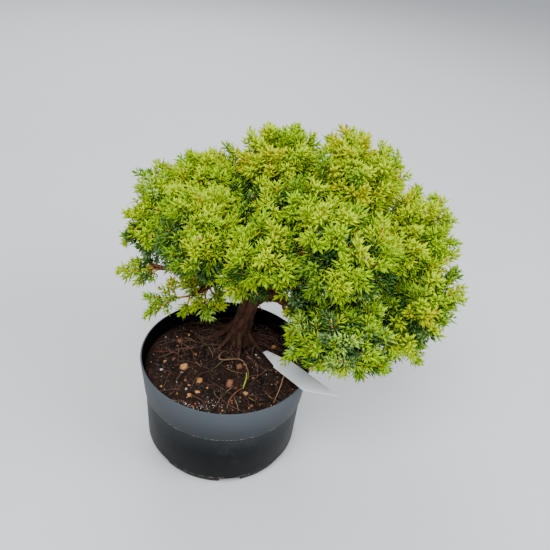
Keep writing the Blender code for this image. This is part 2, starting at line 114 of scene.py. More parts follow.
def edit_all():
    """Goes into edit mode with the whole piece selected."""
    bpy.ops.object.mode_set(mode="EDIT")
    bpy.ops.mesh.select_all(action="SELECT")


def leave_edit():
    bpy.ops.object.mode_set(mode="OBJECT")


def turn_outward():
    """Has all faces of the piece in edit mode point outwards, and leaves that mode."""
    bpy.ops.mesh.select_all(action="SELECT")
    bpy.ops.mesh.normals_make_consistent(inside=False)
    leave_edit()


def work_in(piece, kind, **settings):
    """Applies a modifier to the active piece."""
    made = piece.modifiers.new(kind.lower(), kind)
    for name, value in settings.items():
        setattr(made, name, value)
    bpy.ops.object.modifier_apply(modifier=made.name)


def add_node(beside, kind, inputs=None, **settings):
    """A shader node beside another one's output. Its inputs take values or outputs."""
    tree = beside.id_data
    made = tree.nodes.new("ShaderNode" + kind)
    for name, value in settings.items():
        setattr(made, name, value)
    for name, value in (inputs or {}).items():
        if isinstance(value, bpy.types.NodeSocket):
            tree.links.new(value, made.inputs[name])
        else:
            made.inputs[name].default_value = value
    return made


def grain(place, scale, detail=4.0, roughness=0.6):
    """The strength, 0 to 1, of a cloudy pattern at a place."""
    inputs = {"Vector": place, "Scale": scale, "Detail": detail, "Roughness": roughness}
    return add_node(place, "TexNoise", inputs).outputs["Fac"]


def ramp(value, low, high, flip=False):
    """0 below low, 1 above high and smooth between them, or the other way round."""
    ends = {"Value": value, "From Min": low, "From Max": high}
    if flip:
        ends.update({"To Min": 1.0, "To Max": 0.0})
    return add_node(value, "MapRange", ends, interpolation_type="SMOOTHSTEP").outputs["Result"]


def times(first, second):
    return add_node(first, "Math", {0: first, 1: second}, operation="MULTIPLY").outputs["Value"]


def tinted(share, first, second):
    """One colour turning into another as the share goes from 0 to 1."""
    ends = [end if isinstance(end, bpy.types.NodeSocket) else (*end, 1.0) for end in (first, second)]
    inputs = {"Factor": share, 6: ends[0], 7: ends[1]}
    return add_node(share, "Mix", inputs, data_type="RGBA").outputs[2]


def height_of(place):
    return add_node(place, "SeparateXYZ", {"Vector": place}).outputs["Z"]


def stretched(place, scale, rotation=(0, 0, 0)):
    """A place whose patterns are drawn out along a line."""
    inputs = {"Vector": place, "Scale": scale, "Rotation": rotation}
    return add_node(place, "Mapping", inputs).outputs["Vector"]


def new_finish(name, roughness, specular=0.5):
    """A material, its shader and the place on the object that its patterns read."""
    made = bpy.data.materials.new(name)
    made.use_nodes = True
    shader = made.node_tree.nodes["Principled BSDF"]
    shader.inputs["Roughness"].default_value = roughness
    shader.inputs["Specular IOR Level"].default_value = specular
    return made, shader, add_node(shader, "TexCoord").outputs["Object"]


def feed(shader, name, value):
    """Joins a pattern to one of the shader's inputs."""
    shader.id_data.links.new(value, shader.inputs[name])


def gloss(shader, value, low, high):
    """Has the roughness go from low to high with a pattern."""
    inputs = {"Value": value, "To Min": low, "To Max": high}
    feed(shader, "Roughness", add_node(value, "MapRange", inputs).outputs["Result"])


def relief(shader, height, depth, strength):
    """Small bumps in the finish that follow a pattern."""
    inputs = {"Height": height, "Distance": depth, "Strength": strength}
    feed(shader, "Normal", add_node(height, "Bump", inputs).outputs["Normal"])


def dress(piece, name, finishes, replaced=()):
    """Names a finished piece, gives it its finishes and has it stand for the solids it replaces."""
    piece.name = name
    piece.data.name = name
    for finish in finishes:
        piece.data.materials.append(finish)
    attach(piece, "root")
    if replaced:
        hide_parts(*replaced)


def inner_radius(z):
    """The radius of the pot's inner wall at a height."""
    floor_radius = BASE_RADIUS - WALL / 2
    share = (z - WALL) / (POT_HEIGHT - WALL)
    return floor_radius + (RIM_RADIUS - WALL - floor_radius) * share


def raise_rings(profile):
    """Pulls the selected round face through (radius, height) rings, up the wall and down inside it."""
    for (radius, z), (next_radius, next_z) in zip(profile, profile[1:]):
        bpy.ops.mesh.extrude_region_move(TRANSFORM_OT_translate={"value": (0, 0, next_z - z)})
        wider = next_radius / radius
        bpy.ops.transform.resize(value=(wider, wider, 1), center_override=(0, 0, 0))


half_edge = EDGE_ROUND / 2
pot_profile = [
    (BASE_RADIUS - EDGE_ROUND, 0.0),
    (BASE_RADIUS - EDGE_ROUND * 0.3, EDGE_ROUND * 0.3),
    (BASE_RADIUS, EDGE_ROUND),
    (FOOT_LEDGE_RADIUS - LEDGE_WIDTH, FOOT_LEDGE_Z),
    (FOOT_LEDGE_RADIUS - LEDGE_WIDTH * 0.2, FOOT_LEDGE_Z + LEDGE_WIDTH * 0.15),
    (FOOT_LEDGE_RADIUS, FOOT_LEDGE_Z + LEDGE_WIDTH / 2),
    (WALL_TOP_RADIUS, BAND_FOOT_Z - LEDGE_WIDTH / 2),
    (BAND_FOOT_RADIUS - LEDGE_WIDTH * 0.2, BAND_FOOT_Z + LEDGE_WIDTH * 0.1),
    (BAND_FOOT_RADIUS, BAND_FOOT_Z + LEDGE_WIDTH / 2),
    (RIM_RADIUS, POT_HEIGHT - half_edge),
    (RIM_RADIUS - half_edge * 0.3, POT_HEIGHT - half_edge * 0.3),
    (RIM_RADIUS - half_edge, POT_HEIGHT),
    (RIM_RADIUS - WALL + half_edge * 0.4, POT_HEIGHT),
    (RIM_RADIUS - WALL, POT_HEIGHT - half_edge),
    (inner_radius(BAND_FOOT_Z), BAND_FOOT_Z),
    (inner_radius(WALL), WALL),
]
first_ring = {"vertices": POT_SIDES, "radius": pot_profile[0][0], "fill_type": "NGON"}
pot = start_from(bpy.ops.mesh.primitive_circle_add, **first_ring)
edit_all()
raise_rings(pot_profile)
turn_outward()

slot_cutters = []
for number in range(DRAIN_SLOTS):
    angle = SLOT_FIRST_ANGLE + 2 * math.pi * number / DRAIN_SLOTS
    reach = RIM_RADIUS - BASE_RADIUS + SLOT_TOP_Z
    middle = BASE_RADIUS - SLOT_TOP_Z + reach / 2
    place = (middle * math.cos(angle), middle * math.sin(angle), 0)
    cutter = start_from(bpy.ops.mesh.primitive_cube_add, size=1, location=place, rotation=(0, 0, angle))
    cutter.scale = (reach, SLOT_WIDTH, SLOT_TOP_Z * 2)
    bpy.ops.object.transform_apply()
    edit_all()
    bpy.ops.mesh.bevel(offset=WALL / 2, segments=2)
    leave_edit()
    slot_cutters.append(cutter)
select_only(*slot_cutters)
bpy.ops.object.join()
cutter = bpy.context.active_object
select_only(pot)
work_in(pot, "BOOLEAN", operation="DIFFERENCE", object=cutter)
bpy.data.objects.remove(cutter)
select_only(pot)
bpy.ops.object.shade_smooth_by_angle(angle=math.radians(30))
outer = pot.data.attributes.new("outer_side", "FLOAT", "POINT")
for vert in pot.data.vertices:
    outer.data[vert.index].value = vert.co.xy.length > inner_radius(vert.co.z) + WALL / 4

plastic, shader, place = new_finish("black_pot_plastic", 0.42, 0.06)
outside = add_node(place, "Attribute", attribute_name="outer_side").outputs["Fac"]
height = height_of(place)
cloud = grain(place, 45.0, 5.0)
speck = grain(place, 900.0, 3.0, 0.7)
colour = tinted(cloud, (0.0010, 0.0016, 0.0024), (0.0026, 0.0036, 0.0050))
# Painted sheen: the outside of the upper wall is painted paler towards the rim, in place of the room's
# reflection.
for low, high, share in PAINTED_SHEEN_BANDS:
    painted_sheen = times(times(ramp(height, low, high), outside), share)
    colour = tinted(painted_sheen, colour, (0.084, 0.098, 0.112))
dust = times(ramp(grain(place, 22.0, 6.0, 0.75), 0.52, 0.80), ramp(speck, 0.35, 0.75))
colour = tinted(times(dust, 0.25), colour, (0.19, 0.19, 0.175))
for line_z, share in DIRTY_LINES.items():
    off = add_node(height, "Math", {0: height, 1: line_z}, operation="SUBTRACT").outputs["Value"]
    off = add_node(off, "Math", {0: off}, operation="ABSOLUTE").outputs["Value"]
    on_line = ramp(off, DIRT_WIDTH * 0.45, DIRT_WIDTH, flip=True)
    broken = ramp(grain(place, 130.0, 5.0, 0.8), share, share + 0.07)
    colour = tinted(times(on_line, broken), colour, (0.27, 0.235, 0.175))
scratches = grain(stretched(place, (900.0, 30.0, 60.0), (0.5, 0.9, 0.3)), 1.0, 2.0)
thin = times(ramp(scratches, 0.70, 0.74), ramp(grain(place, 60.0), 0.5, 0.6))
colour = tinted(times(thin, 0.45), colour, (0.22, 0.23, 0.23))
feed(shader, "Base Color", colour)
gloss(shader, cloud, 0.34, 0.52)
relief(shader, times(speck, cloud), 0.00012, 0.5)
dress(pot, "nursery_pot", [plastic], ["pot"])

# ---------------------------------------------------------------- compost
# Moist, dark peat compost that fills the pot to a little under its rim. Its top is crumbly, with low
# ripples, and lies level round the foot of the trunk.

SOIL_TOP_Z = 0.060
SOIL_RELIEF = 0.0011
LEVEL_RADIUS = 0.034
LEVEL_EDGE = 0.012
TRUNK_FOOT = Vector((0.006, 0.031, SOIL_TOP_Z))
SOIL_GAP = 0.0003
SOIL_GRID = 170
SOIL_EDGE = 0.002  # width of the even edge along the pot's wall
EDGE_SUNK = 0.0006
CLODS, CRUMBS, FINE_CRUMBS = 0.0011, 0.0019, 0.0003  # how high they stand


def soil_height(x, y):
    """The compost's even top, without its crumbs."""
    away = math.hypot(x - TRUNK_FOOT.x, y - TRUNK_FOOT.y)
    share = min(max((away - LEVEL_RADIUS) / LEVEL_EDGE, 0.0), 1.0)
    ripple = 0.5 + 0.25 * math.sin(230 * x + 1.1) + 0.25 * math.cos(190 * y - 0.4 + 60 * x)
    return SOIL_TOP_Z + SOIL_RELIEF * share * ripple


def crumbs(x, y):
    """How far clods and crumbs stand over the even top, or pits lie under it."""
    clods = noise.fractal(Vector((x, y, 0.3)) * 110, 0.9, 2.0, 3)
    grains = noise.turbulence(Vector((x, y, 0.7)) * 380, 3, True)
    fine = noise.noise(Vector((x, y, 0.1)) * 1500)
    return CLODS * clods + CRUMBS * (grains - 0.5) + FINE_CRUMBS * fine


soil_edge = inner_radius(SOIL_TOP_Z) - SOIL_GAP
soil = start_from(bpy.ops.mesh.primitive_grid_add, x_subdivisions=SOIL_GRID, y_subdivisions=SOIL_GRID, size=2)
for vert in soil.data.vertices:
    u, v = vert.co.x, vert.co.y
    x = u * math.sqrt(1 - v * v / 2) * soil_edge
    y = v * math.sqrt(1 - u * u / 2) * soil_edge
    rim_share = min(1.0, (soil_edge - math.hypot(x, y)) / SOIL_EDGE)
    vert.co = (x, y, soil_height(x, y) + crumbs(x, y) * rim_share - EDGE_SUNK * (1 - rim_share))
bpy.ops.object.mode_set(mode="EDIT")
bpy.ops.mesh.select_mode(type="EDGE")
bpy.ops.mesh.select_all(action="DESELECT")
bpy.ops.mesh.select_non_manifold()
for low_z in (BAND_FOOT_Z, WALL + SOIL_GAP):
    bpy.ops.mesh.extrude_region_move()
    leave_edit()
    radius = inner_radius(low_z) - SOIL_GAP
    for vert in soil.data.vertices:
        if vert.select:
            flat = vert.co.xy.normalized() * radius
            vert.co = (flat.x, flat.y, low_z)
    bpy.ops.object.mode_set(mode="EDIT")
bpy.ops.mesh.edge_face_add()
turn_outward()
soil.data.shade_smooth()

compost, shader, place = new_finish("peat_compost", 0.95, 0.2)
patches = grain(place, 90.0, 6.0, 0.7)
fibres = grain(stretched(place, (420.0, 1500.0, 800.0)), 1.0, 5.0)
colour = tinted(ramp(patches, 0.32, 0.68), (0.0042, 0.0020, 0.0013), (0.030, 0.0138, 0.0088))
colour = tinted(ramp(fibres, 0.56, 0.72), colour, (0.070, 0.036, 0.022))
dots = add_node(place, "TexVoronoi", {"Vector": place, "Scale": 520.0}).outputs["Distance"]
white = times(ramp(dots, 0.10, 0.16, flip=True), ramp(grain(place, 70.0), 0.58, 0.66))
colour = tinted(white, colour, (0.55, 0.50, 0.44))
feed(shader, "Base Color", colour)
relief(shader, fibres, 0.0006, 0.9)
dress(soil, "potting_compost", [compost], ["soil"])

# ---------------------------------------------------------------- stones and perlite
# What the compost is mixed with: white perlite, tan and rust-coloured grit and dark crumbs. They lie
# half sunk in its top. The largest have their own places, the rest are strewn.

STREWN_RADIUS = 0.0525
SUNK = 0.25  # share of a stone's size that its middle lies over the compost
NAMED_STONES = {  # x, y and radius in millimetres
    "grit_tan": [(-27.6, -8, 3), (-15.3, -18.6, 2.7), (16.7, -25.8, 2.1), (-15, -29, 1.8),
                 (-19.5, -33.5, 1.7), (32.1, 26, 2.2)],
    "grit_rust": [(5.3, -19.1, 3.4), (9.9, -0.2, 2.6), (-36, 19.8, 2.6)],
    "perlite": [(-28.3, -12.5, 1), (-42.2, -12.8, 1.1), (-46.3, 20.6, 0.8), (20, 14.2, 0.9),
                (22.2, 11.7, 0.8), (21.3, 4, 0.9), (-20.3, -41.5, 0.9), (-2.8, -39.4, 0.9),
                (-22.3, -28.2, 1.1)],
    "crumbs": [],
}
STREWN_STONES = {  # count, least and most radius
    "grit_tan": (26, 0.0005, 0.0012),
    "grit_rust": (60, 0.0005, 0.0014),
    "perlite": (75, 0.0002, 0.00048),
    "crumbs": (900, 0.0004, 0.0014),
}
PERLITE_PATCH = (Vector((-0.0094, -0.0421)), 0.009, 80)  # where a handful has washed together
STONE_COLOURS = {
    "grit_tan": ((0.38, 0.16, 0.045), (0.58, 0.29, 0.10)),
    "grit_rust": ((0.15, 0.055, 0.028), (0.30, 0.12, 0.06)),
    "perlite": ((0.34, 0.30, 0.27), (0.62, 0.58, 0.53)),
    "crumbs": ((0.010, 0.0055, 0.004), (0.045, 0.023, 0.015)),
}


def in_metres(values):
    return tuple(value / 1000 for value in values)


def joined_mesh(points, groups, finish_numbers=None):
    """An object that holds many small shapes: their points, and groups of faces of equal sides."""
    corners = np.concatenate([group.ravel() for group in groups])
    sides = np.concatenate([np.full(len(group), group.shape[1]) for group in groups])
    mesh = bpy.data.meshes.new("joined")
    mesh.vertices.add(len(points))
    mesh.vertices.foreach_set("co", np.ascontiguousarray(points, np.float32).ravel())
    mesh.loops.add(len(corners))
    mesh.loops.foreach_set("vertex_index", corners.astype(np.int32))
    mesh.polygons.add(len(sides))
    mesh.polygons.foreach_set("loop_start", (np.cumsum(sides) - sides).astype(np.int32))
    if finish_numbers is not None:
        mesh.polygons.foreach_set("material_index", finish_numbers.astype(np.int32))
    mesh.update(calc_edges=True)
    obj = bpy.data.objects.new("joined", mesh)
    bpy.context.scene.collection.objects.link(obj)
    return obj


def any_turn(dice):
    """A turning matrix, any way up."""
    angles = [dice.uniform(0, 2 * math.pi) for _ in range(3)]
    turn = Matrix.Rotation(angles[0], 3, "X") @ Matrix.Rotation(angles[1], 3, "Y")
    return turn @ Matrix.Rotation(angles[2], 3, "Z")


ball = start_from(bpy.ops.mesh.primitive_ico_sphere_add, subdivisions=2, radius=1)
ball_points = np.array([vert.co for vert in ball.data.vertices])
ball_faces = np.array([face.vertices for face in ball.data.polygons])
bpy.data.objects.remove(ball)


def stones(places, dice):
    """Rough stones, each its own lumpy shape, at (x, y, radius) places on the compost."""
    points = []
    for x, y, radius in places:
        shape = np.array([dice.uniform(0.75, 1.15), dice.uniform(0.6, 0.95), dice.uniform(0.45, 0.75)])
        shift = Vector((x, y, radius)) * 900
        lumps = np.array([noise.noise(Vector(p) * 1.3 + shift) for p in ball_points])
        turn = np.array(any_turn(dice) if radius < 0.001 else Matrix.Rotation(dice.uniform(0, 6.3), 3, "Z"))
        stone = (ball_points * shape * (1 + 0.55 * lumps[:, None])) @ turn.T * radius
        points.append(stone + [x, y, soil_height(x, y) + crumbs(x, y) + radius * SUNK])
    starts = np.arange(len(places))[:, None, None] * len(ball_points)
    return joined_mesh(np.concatenate(points), [(starts + ball_faces).reshape(-1, 3)])


for seed, (name, (count, least, most)) in enumerate(STREWN_STONES.items()):
    dice = random.Random(30 + seed)
    places = [in_metres(place) for place in NAMED_STONES[name]]
    for _ in range(count):
        away = STREWN_RADIUS * math.sqrt(dice.random())
        angle = dice.uniform(0, 2 * math.pi)
        places.append((away * math.cos(angle), away * math.sin(angle), dice.uniform(least, most)))
    if name == "perlite":
        middle, spread, extra = PERLITE_PATCH
        for _ in range(extra):
            x, y = middle.x + dice.gauss(0, spread), middle.y + dice.gauss(0, spread * 0.35)
            if math.hypot(x, y) < STREWN_RADIUS:
                places.append((x, y, dice.uniform(least, most)))
    stone = stones(places, dice)
    stone.data.shade_smooth()
    finish, shader, place = new_finish("stone_" + name, 0.85)
    first, second = STONE_COLOURS[name]
    blotch = grain(place, 420.0, 5.0, 0.7)
    feed(shader, "Base Color", tinted(ramp(blotch, 0.35, 0.65), first, second))
    relief(shader, grain(place, 1600.0, 3.0), 0.0002, 0.7)
    dress(stone, "compost_" + name, [finish])

# ---------------------------------------------------------------- loose fibres
# Thin dead roots and straws that trail over the compost, fine roots that run out from the trunk's
# foot, and a few single strands: a live green shoot, a green stalk, a red root, a straw and a loop.

FIBRE_KINDS = {  # count, least and most radius, length, colours
    "root_fibres": (150, 0.00014, 0.00038, 0.025, ((0.045, 0.020, 0.013), (0.14, 0.065, 0.036))),
    "pale_straws": (16, 0.00012, 0.00020, 0.011, ((0.26, 0.16, 0.075), (0.42, 0.29, 0.15))),
    "red_threads": (36, 0.00010, 0.00018, 0.010, ((0.16, 0.035, 0.020), (0.27, 0.07, 0.035))),
}
FIBRE_STEPS = 14
FIBRE_SIDES = 5
FIBRE_LIFT = 0.0002
FIBRE_STARTS = (0.006, 0.014)  # how far from the trunk's middle its fine roots show
LONG_FIBRE = 0.012
FIBRE_ARCHES = (0.0, 0.0005, 0.0012, 0.0030)
SHORT_ARCH = 0.0004


def spot(point):
    """A place that a table gives in millimetres."""
    return Vector(in_metres(point))


def smooth_path(points, steps):
    """Catmull-Rom points through the given ones, with `steps` intervals between each two."""
    ends = [2 * points[0] - points[1], *points, 2 * points[-1] - points[-2]]
    path = []
    for a, b, c, d in zip(ends, ends[1:], ends[2:], ends[3:]):
        for step in range(steps):
            t = step / steps
            bend = (2 * a - 5 * b + 4 * c - d) * t**2 + (3 * b - a - 3 * c + d) * t**3
            path.append(0.5 * (2 * b + (c - a) * t + bend))
    return [*path, points[-1].copy()]


def along(values, share):
    """The value at a share of the way through a list, in straight steps between its entries."""
    place = min(max(share, 0.0), 1.0) * (len(values) - 1)
    low = min(int(place), len(values) - 2)
    return values[low] + (values[low + 1] - values[low]) * (place - low)


def unit(vectors):
    return vectors / np.maximum(np.linalg.norm(vectors, axis=-1, keepdims=True), 1e-12)


def tubes(paths, radii, sides):
    """Points and face groups of closed tapered tubes, all with the same number of steps."""
    paths = np.asarray(paths, float)
    radii = np.asarray(radii, float)
    count, steps, _ = paths.shape
    ahead = unit(np.gradient(paths, axis=1))
    course = unit(paths[:, -1] - paths[:, 0] + 1e-9)
    other = np.eye(3)[np.argmin(np.abs(course), axis=1)][:, None, :]
    across = unit(np.cross(ahead, other))
    upward = np.cross(ahead, across)
    angles = 2 * np.pi * np.arange(sides) / sides
    ring = across[:, :, None] * np.cos(angles)[:, None] + upward[:, :, None] * np.sin(angles)[:, None]
    rings = paths[:, :, None] + ring * radii[:, :, None, None]
    points = np.concatenate([rings.reshape(count, -1, 3), paths[:, :1], paths[:, -1:]], axis=1)
    edge = np.arange(sides)
    beyond = (edge + 1) % sides
    last = (steps - 1) * sides
    low, turned = (np.arange(steps - 1)[:, None] * sides + corner for corner in (edge, beyond))
    walls = np.stack([low, turned, turned + sides, low + sides], axis=-1).reshape(-1, 4)
    foot = np.stack([beyond, edge, np.full(sides, steps * sides)], axis=-1)
    top = np.stack([last + edge, last + beyond, np.full(sides, steps * sides + 1)], axis=-1)
    starts = np.arange(count)[:, None, None] * (steps * sides + 2)
    groups = [(starts + walls).reshape(-1, 4), (starts + np.concatenate([foot, top])).reshape(-1, 3)]
    return points.reshape(-1, 3), groups


def on_soil(x, y):
    """A point on the compost, held inside the pot."""
    away = math.hypot(x, y)
    if away > STREWN_RADIUS:
        x, y = x * STREWN_RADIUS / away, y * STREWN_RADIUS / away
    return Vector((x, y, soil_height(x, y) + max(crumbs(x, y), 0) + FIBRE_LIFT))


def flat_way(heading):
    return Vector((math.cos(heading), math.sin(heading)))


def fibre(dice, length, from_foot):
    """A bent strand over the compost, either flat on it or in one low arch."""
    heading = dice.uniform(0, 2 * math.pi)
    if from_foot:
        start = TRUNK_FOOT.xy + flat_way(heading) * dice.uniform(*FIBRE_STARTS)
    else:
        start = flat_way(heading) * STREWN_RADIUS * math.sqrt(dice.random())
        heading = dice.uniform(0, 2 * math.pi)
    turning = dice.gauss(0, 0.08)
    arch = dice.choice(FIBRE_ARCHES) if length > LONG_FIBRE else SHORT_ARCH
    points = []
    for step in range(FIBRE_STEPS):
        heading += turning + dice.gauss(0, 0.13)
        start = start + flat_way(heading) * length / FIBRE_STEPS
        lift = arch * math.sin(math.pi * step / (FIBRE_STEPS - 1))
        points.append(on_soil(start.x, start.y) + Vector((0, 0, lift)))
    return points


def strand_finish(name, first, second):
    finish, shader, place = new_finish(name, 0.8)
    blotch = grain(place, 300.0, 4.0)
    feed(shader, "Base Color", tinted(ramp(blotch, 0.3, 0.7), first, second))
    relief(shader, grain(place, 2500.0, 2.0), 0.0001, 0.6)
    return finish


def strands(paths, thickness):
    """Tubes along strands, thickest in the middle."""
    shares = np.linspace(0, 1, len(paths[0]))
    swell = 0.45 + 0.55 * np.sin(np.pi * np.clip(shares * 0.8 + 0.15, 0, 1))
    return joined_mesh(*tubes(paths, np.asarray(thickness)[:, None] * swell, FIBRE_SIDES))


for seed, (name, (count, least, most, length, colours)) in enumerate(FIBRE_KINDS.items()):
    dice = random.Random(50 + seed)
    paths = []
    for number in range(count):
        paths.append(fibre(dice, length * dice.uniform(0.4, 1.3), name == "root_fibres" and number % 2 == 0))
    made = strands(paths, [dice.uniform(least, most) for _ in paths])
    made.data.shade_smooth()
    dress(made, name, [strand_finish(name, *colours)])

SINGLE_STRANDS = {  # name: radius, colours, and the course in millimetres
    "green_shoot": (
        0.00055, ((0.28, 0.42, 0.03), (0.42, 0.55, 0.05)),
        (14.5, -21.4, 60.5), (15.2, -20.5, 64), (16, -19, 68.5), (15.7, -18.5, 72.5),
    ),
    "green_stalk": (
        0.00050, ((0.055, 0.085, 0.022), (0.085, 0.12, 0.03)),
        (3.4, 6.9, 61.8), (-1.8, 0.8, 63.2), (-7, -6.2, 61.6),
    ),
    "red_root": (
        0.00042, ((0.20, 0.055, 0.03), (0.30, 0.10, 0.05)),
        (14.5, -21.4, 61.2), (11, -26.2, 62.2), (7.5, -33, 62), (6.2, -39.6, 61.2),
    ),
    "leaning_straw": (
        0.00038, ((0.30, 0.18, 0.07), (0.42, 0.28, 0.13)),
        (41.4, -1.4, 70), (40, -16, 66), (35.7, -32.5, 61.8),
    ),
    "root_loop": (
        0.00055, ((0.17, 0.085, 0.045), (0.27, 0.15, 0.085)),
        (-3, 12, 61.8), (-4.8, 4, 65), (-3, -1, 65.5), (10, 3, 64), (16, -6, 63), (17, -13, 61.2),
    ),
}
for name, (thickness, colours, *course) in SINGLE_STRANDS.items():
    made = strands([smooth_path([spot(point) for point in course], 6)], [thickness])
    made.data.shade_smooth()
    dress(made, name, [strand_finish(name, *colours)])

# ---------------------------------------------------------------- trunk, surface roots and boughs
# Live wood with shaggy, peeling red-brown bark: one trunk that leans and tapers from a flare of
# surface roots, and the boughs that fork from it. All of it is one skin, as it has grown.

TRUNK_COURSE = [(6.8, 31, 68), (9, 30.2, 82), (12, 29.5, 98), (13, 32, 116), (12.5, 37, 136),
                (15, 43, 154)]  # over its foot
TRUNK_RADII = in_metres((11.8, 8.4, 6.8, 6.2, 5.2, 4, 2.6))
BOUGHS = {  # name: parent, share of its length, first and last radius and the course in millimetres
    "bough_right": ("trunk", 0.46, (4.4, 2.5),
                    (23.5, 24.5, 106), (36, 19, 107.5), (60, 8, 108), (83, 3, 114)),
    "bough_left_low": ("trunk", 0.49, (3.6, 2.1),
                       (0, 27, 111), (-12, 25, 112.5), (-21, 23.6, 106), (-29, 22.6, 100.5)),
    "bough_left_tip": ("bough_left_low", 0.42, (2.3, 1.4),
                       (-23, 24.5, 116.5), (-40, 25.5, 118), (-56, 27, 116.5)),
    "bough_left": ("trunk", 0.63, (3.4, 2.3), (-2, 34.5, 124), (-16, 37, 131), (-30, 37, 134)),
    "bough_front": ("trunk", 0.60, (3.2, 2.1), (15.5, 18.5, 122), (17, 10, 132)),
    "bough_front_left": ("trunk", 0.76, (2.8, 1.9), (2, 30, 143), (-6, 25, 150)),
    "bough_centre_right": ("trunk", 0.70, (3, 2), (27, 25, 138), (38, 12, 149)),
    "bough_centre": ("trunk", 0.90, (2.3, 1.6), (21.5, 35.5, 157), (25.5, 31.5, 163)),
    "bough_top_left": ("trunk", 0.86, (2.5, 1.7), (3, 47, 157), (-6, 50, 163)),
    "bough_top_right": ("trunk", 0.82, (2.9, 1.9), (32, 41, 158), (52, 43, 173)),
    "bough_back_left": ("trunk", 0.55, (3.3, 2.1), (3.5, 48, 116), (-9, 62, 123)),
    "bough_back": ("trunk", 0.68, (3.2, 2.1), (14, 53, 133), (18, 74, 139)),
    "bough_back_right": ("trunk", 0.38, (3.9, 2.3), (24, 44, 104), (42, 58, 116), (56, 68, 128)),
    "bough_front_right": ("bough_right", 0.50, (2.6, 1.9), (49, 3, 108.5), (55, -4, 111)),
    "bough_right_high": ("bough_right", 0.72, (2.6, 1.9), (74, 18, 127), (86, 24, 140)),
    "bough_right_back": ("bough_back_right", 0.48, (2.7, 1.8), (60, 51, 108), (78, 54, 112)),
}
ROOT_COUNT = 8
ROOT_REACH = 0.027
ROOT_RISE = 0.017
ROOT_RADIUS = 0.0024
ROOT_LIMIT = 0.050
ROOT_COURSE = [(0.07, 1.0), (0.36, 0.50), (0.68, 0.12), (1.0, -0.08)]
WOOD_STEPS = 8
WOOD_SIDES = 18
SKIN_VOXEL = 0.00052
BARK_DEPTH = 0.16  # share of a limb's radius that its bark's strips stand out
BARK_LIFT = (0.0002, 0.0011)  # and the least and most of it
GRAIN_STRETCH = 0.16


def plan_limbs():
    """name -> path and radii of the trunk and of each bough, which starts on its parent's line."""
    found = {"trunk": (smooth_path([TRUNK_FOOT, *map(spot, TRUNK_COURSE)], WOOD_STEPS), TRUNK_RADII)}
    for name, (parent, share, radii, *course) in BOUGHS.items():
        start = along(found[parent][0], share)
        found[name] = (smooth_path([start, *map(spot, course)], WOOD_STEPS), in_metres(radii))
    return found


def root(angle, dice):
    """A surface root that leaves the trunk's flare and runs down into the compost."""
    outward = Vector((math.cos(angle), math.sin(angle), 0))
    sideways = Vector((-outward.y, outward.x, 0)) * dice.uniform(-0.004, 0.004)
    reach = ROOT_REACH * dice.uniform(0.72, 1.0)
    rise = ROOT_RISE * dice.uniform(0.55, 1.0)
    while (TRUNK_FOOT + outward * reach).xy.length > ROOT_LIMIT:
        reach *= 0.95
    points = []
    for out, up in ROOT_COURSE:
        points.append(TRUNK_FOOT + outward * out * reach + sideways * out**2 + Vector((0, 0, up * rise)))
    thick = ROOT_RADIUS * dice.uniform(0.8, 1.15)
    return smooth_path(points, WOOD_STEPS), [thick, thick * 0.85, thick * 0.5]


limbs = plan_limbs()
dice = random.Random(4)
wood = dict(limbs)
wood["trunk"] = ([TRUNK_FOOT - Vector((0, 0, ROOT_RADIUS)), *limbs["trunk"][0][1:]], TRUNK_RADII)
for number in range(ROOT_COUNT):
    angle = 2 * math.pi * (number + 0.5 * dice.random()) / ROOT_COUNT
    wood[f"root_{number}"] = root(angle, dice)
limb_pieces = []
for path, radii in wood.values():
    thickness = [along(radii, step / (len(path) - 1)) for step in range(len(path))]
    limb_pieces.append(joined_mesh(*tubes([path], [thickness], WOOD_SIDES)))
select_only(*limb_pieces)
bpy.ops.object.join()
skin = bpy.context.active_object
work_in(skin, "REMESH", mode="VOXEL", voxel_size=SKIN_VOXEL)
work_in(skin, "SMOOTH", iterations=5)


def grain_places(points):
    """For each point its place round and along the nearest limb, and that limb's radius there."""
    best = np.full(len(points), 1e9)
    found = np.zeros((len(points), 3))
    thickness = np.zeros(len(points))
    travelled = 0.0
    for path, radii in wood.values():
        for step, (a, b) in enumerate(zip(path, path[1:])):
            start, run = np.array(a), np.array(b - a)
            length = np.linalg.norm(run)
            share = np.clip((points - start) @ run / length**2, 0, 1)
            away = points - start - share[:, None] * run
            radius = along(radii, (step + 0.5) / (len(path) - 1))
            off = np.linalg.norm(away, axis=1) - radius
            nearer = off < best
            best[nearer] = off[nearer]
            forward = Vector(run).normalized()
            side = np.array(forward.cross(Vector((0.3, 0.9, 0.2))).normalized())
            round_it = np.array(forward.cross(Vector(side)))
            outward = unit(away[nearer]) * radius
            found[nearer, 0] = outward @ side
            found[nearer, 1] = outward @ round_it
            found[nearer, 2] = travelled + share[nearer] * length
            thickness[nearer] = radius
            travelled += length
    return found, thickness


count = len(skin.data.vertices)
skin_points = np.empty(count * 3, np.float32)
skin_normals = np.empty(count * 3, np.float32)
skin.data.vertices.foreach_get("co", skin_points)
skin.data.vertices.foreach_get("normal", skin_normals)
skin_points = skin_points.reshape(-1, 3).astype(float)
strips, thickness = grain_places(skin_points)
relief_heights = np.empty(count)
for number, (x, y, z) in enumerate(strips):
    wide = noise.noise(Vector((x * 420, y * 420, z * 70)))
    narrow = noise.noise(Vector((x * 1100, y * 1100, z * 190 + 7)))
    knots = noise.noise(Vector((x * 160, y * 160, z * 160 + 3)))
    relief_heights[number] = 0.9 * abs(wide) + 0.5 * abs(narrow) + 0.7 * knots - 0.35
lift = relief_heights * np.clip(thickness * BARK_DEPTH, *BARK_LIFT)
skin_points += skin_normals.reshape(-1, 3) * lift[:, None]
skin.data.vertices.foreach_set("co", skin_points.astype(np.float32).ravel())
drawn_out = (strips * [1, 1, GRAIN_STRETCH]).astype(np.float32)
skin.data.attributes.new("along_grain", "FLOAT_VECTOR", "POINT").data.foreach_set("vector", drawn_out.ravel())
skin.data.update()
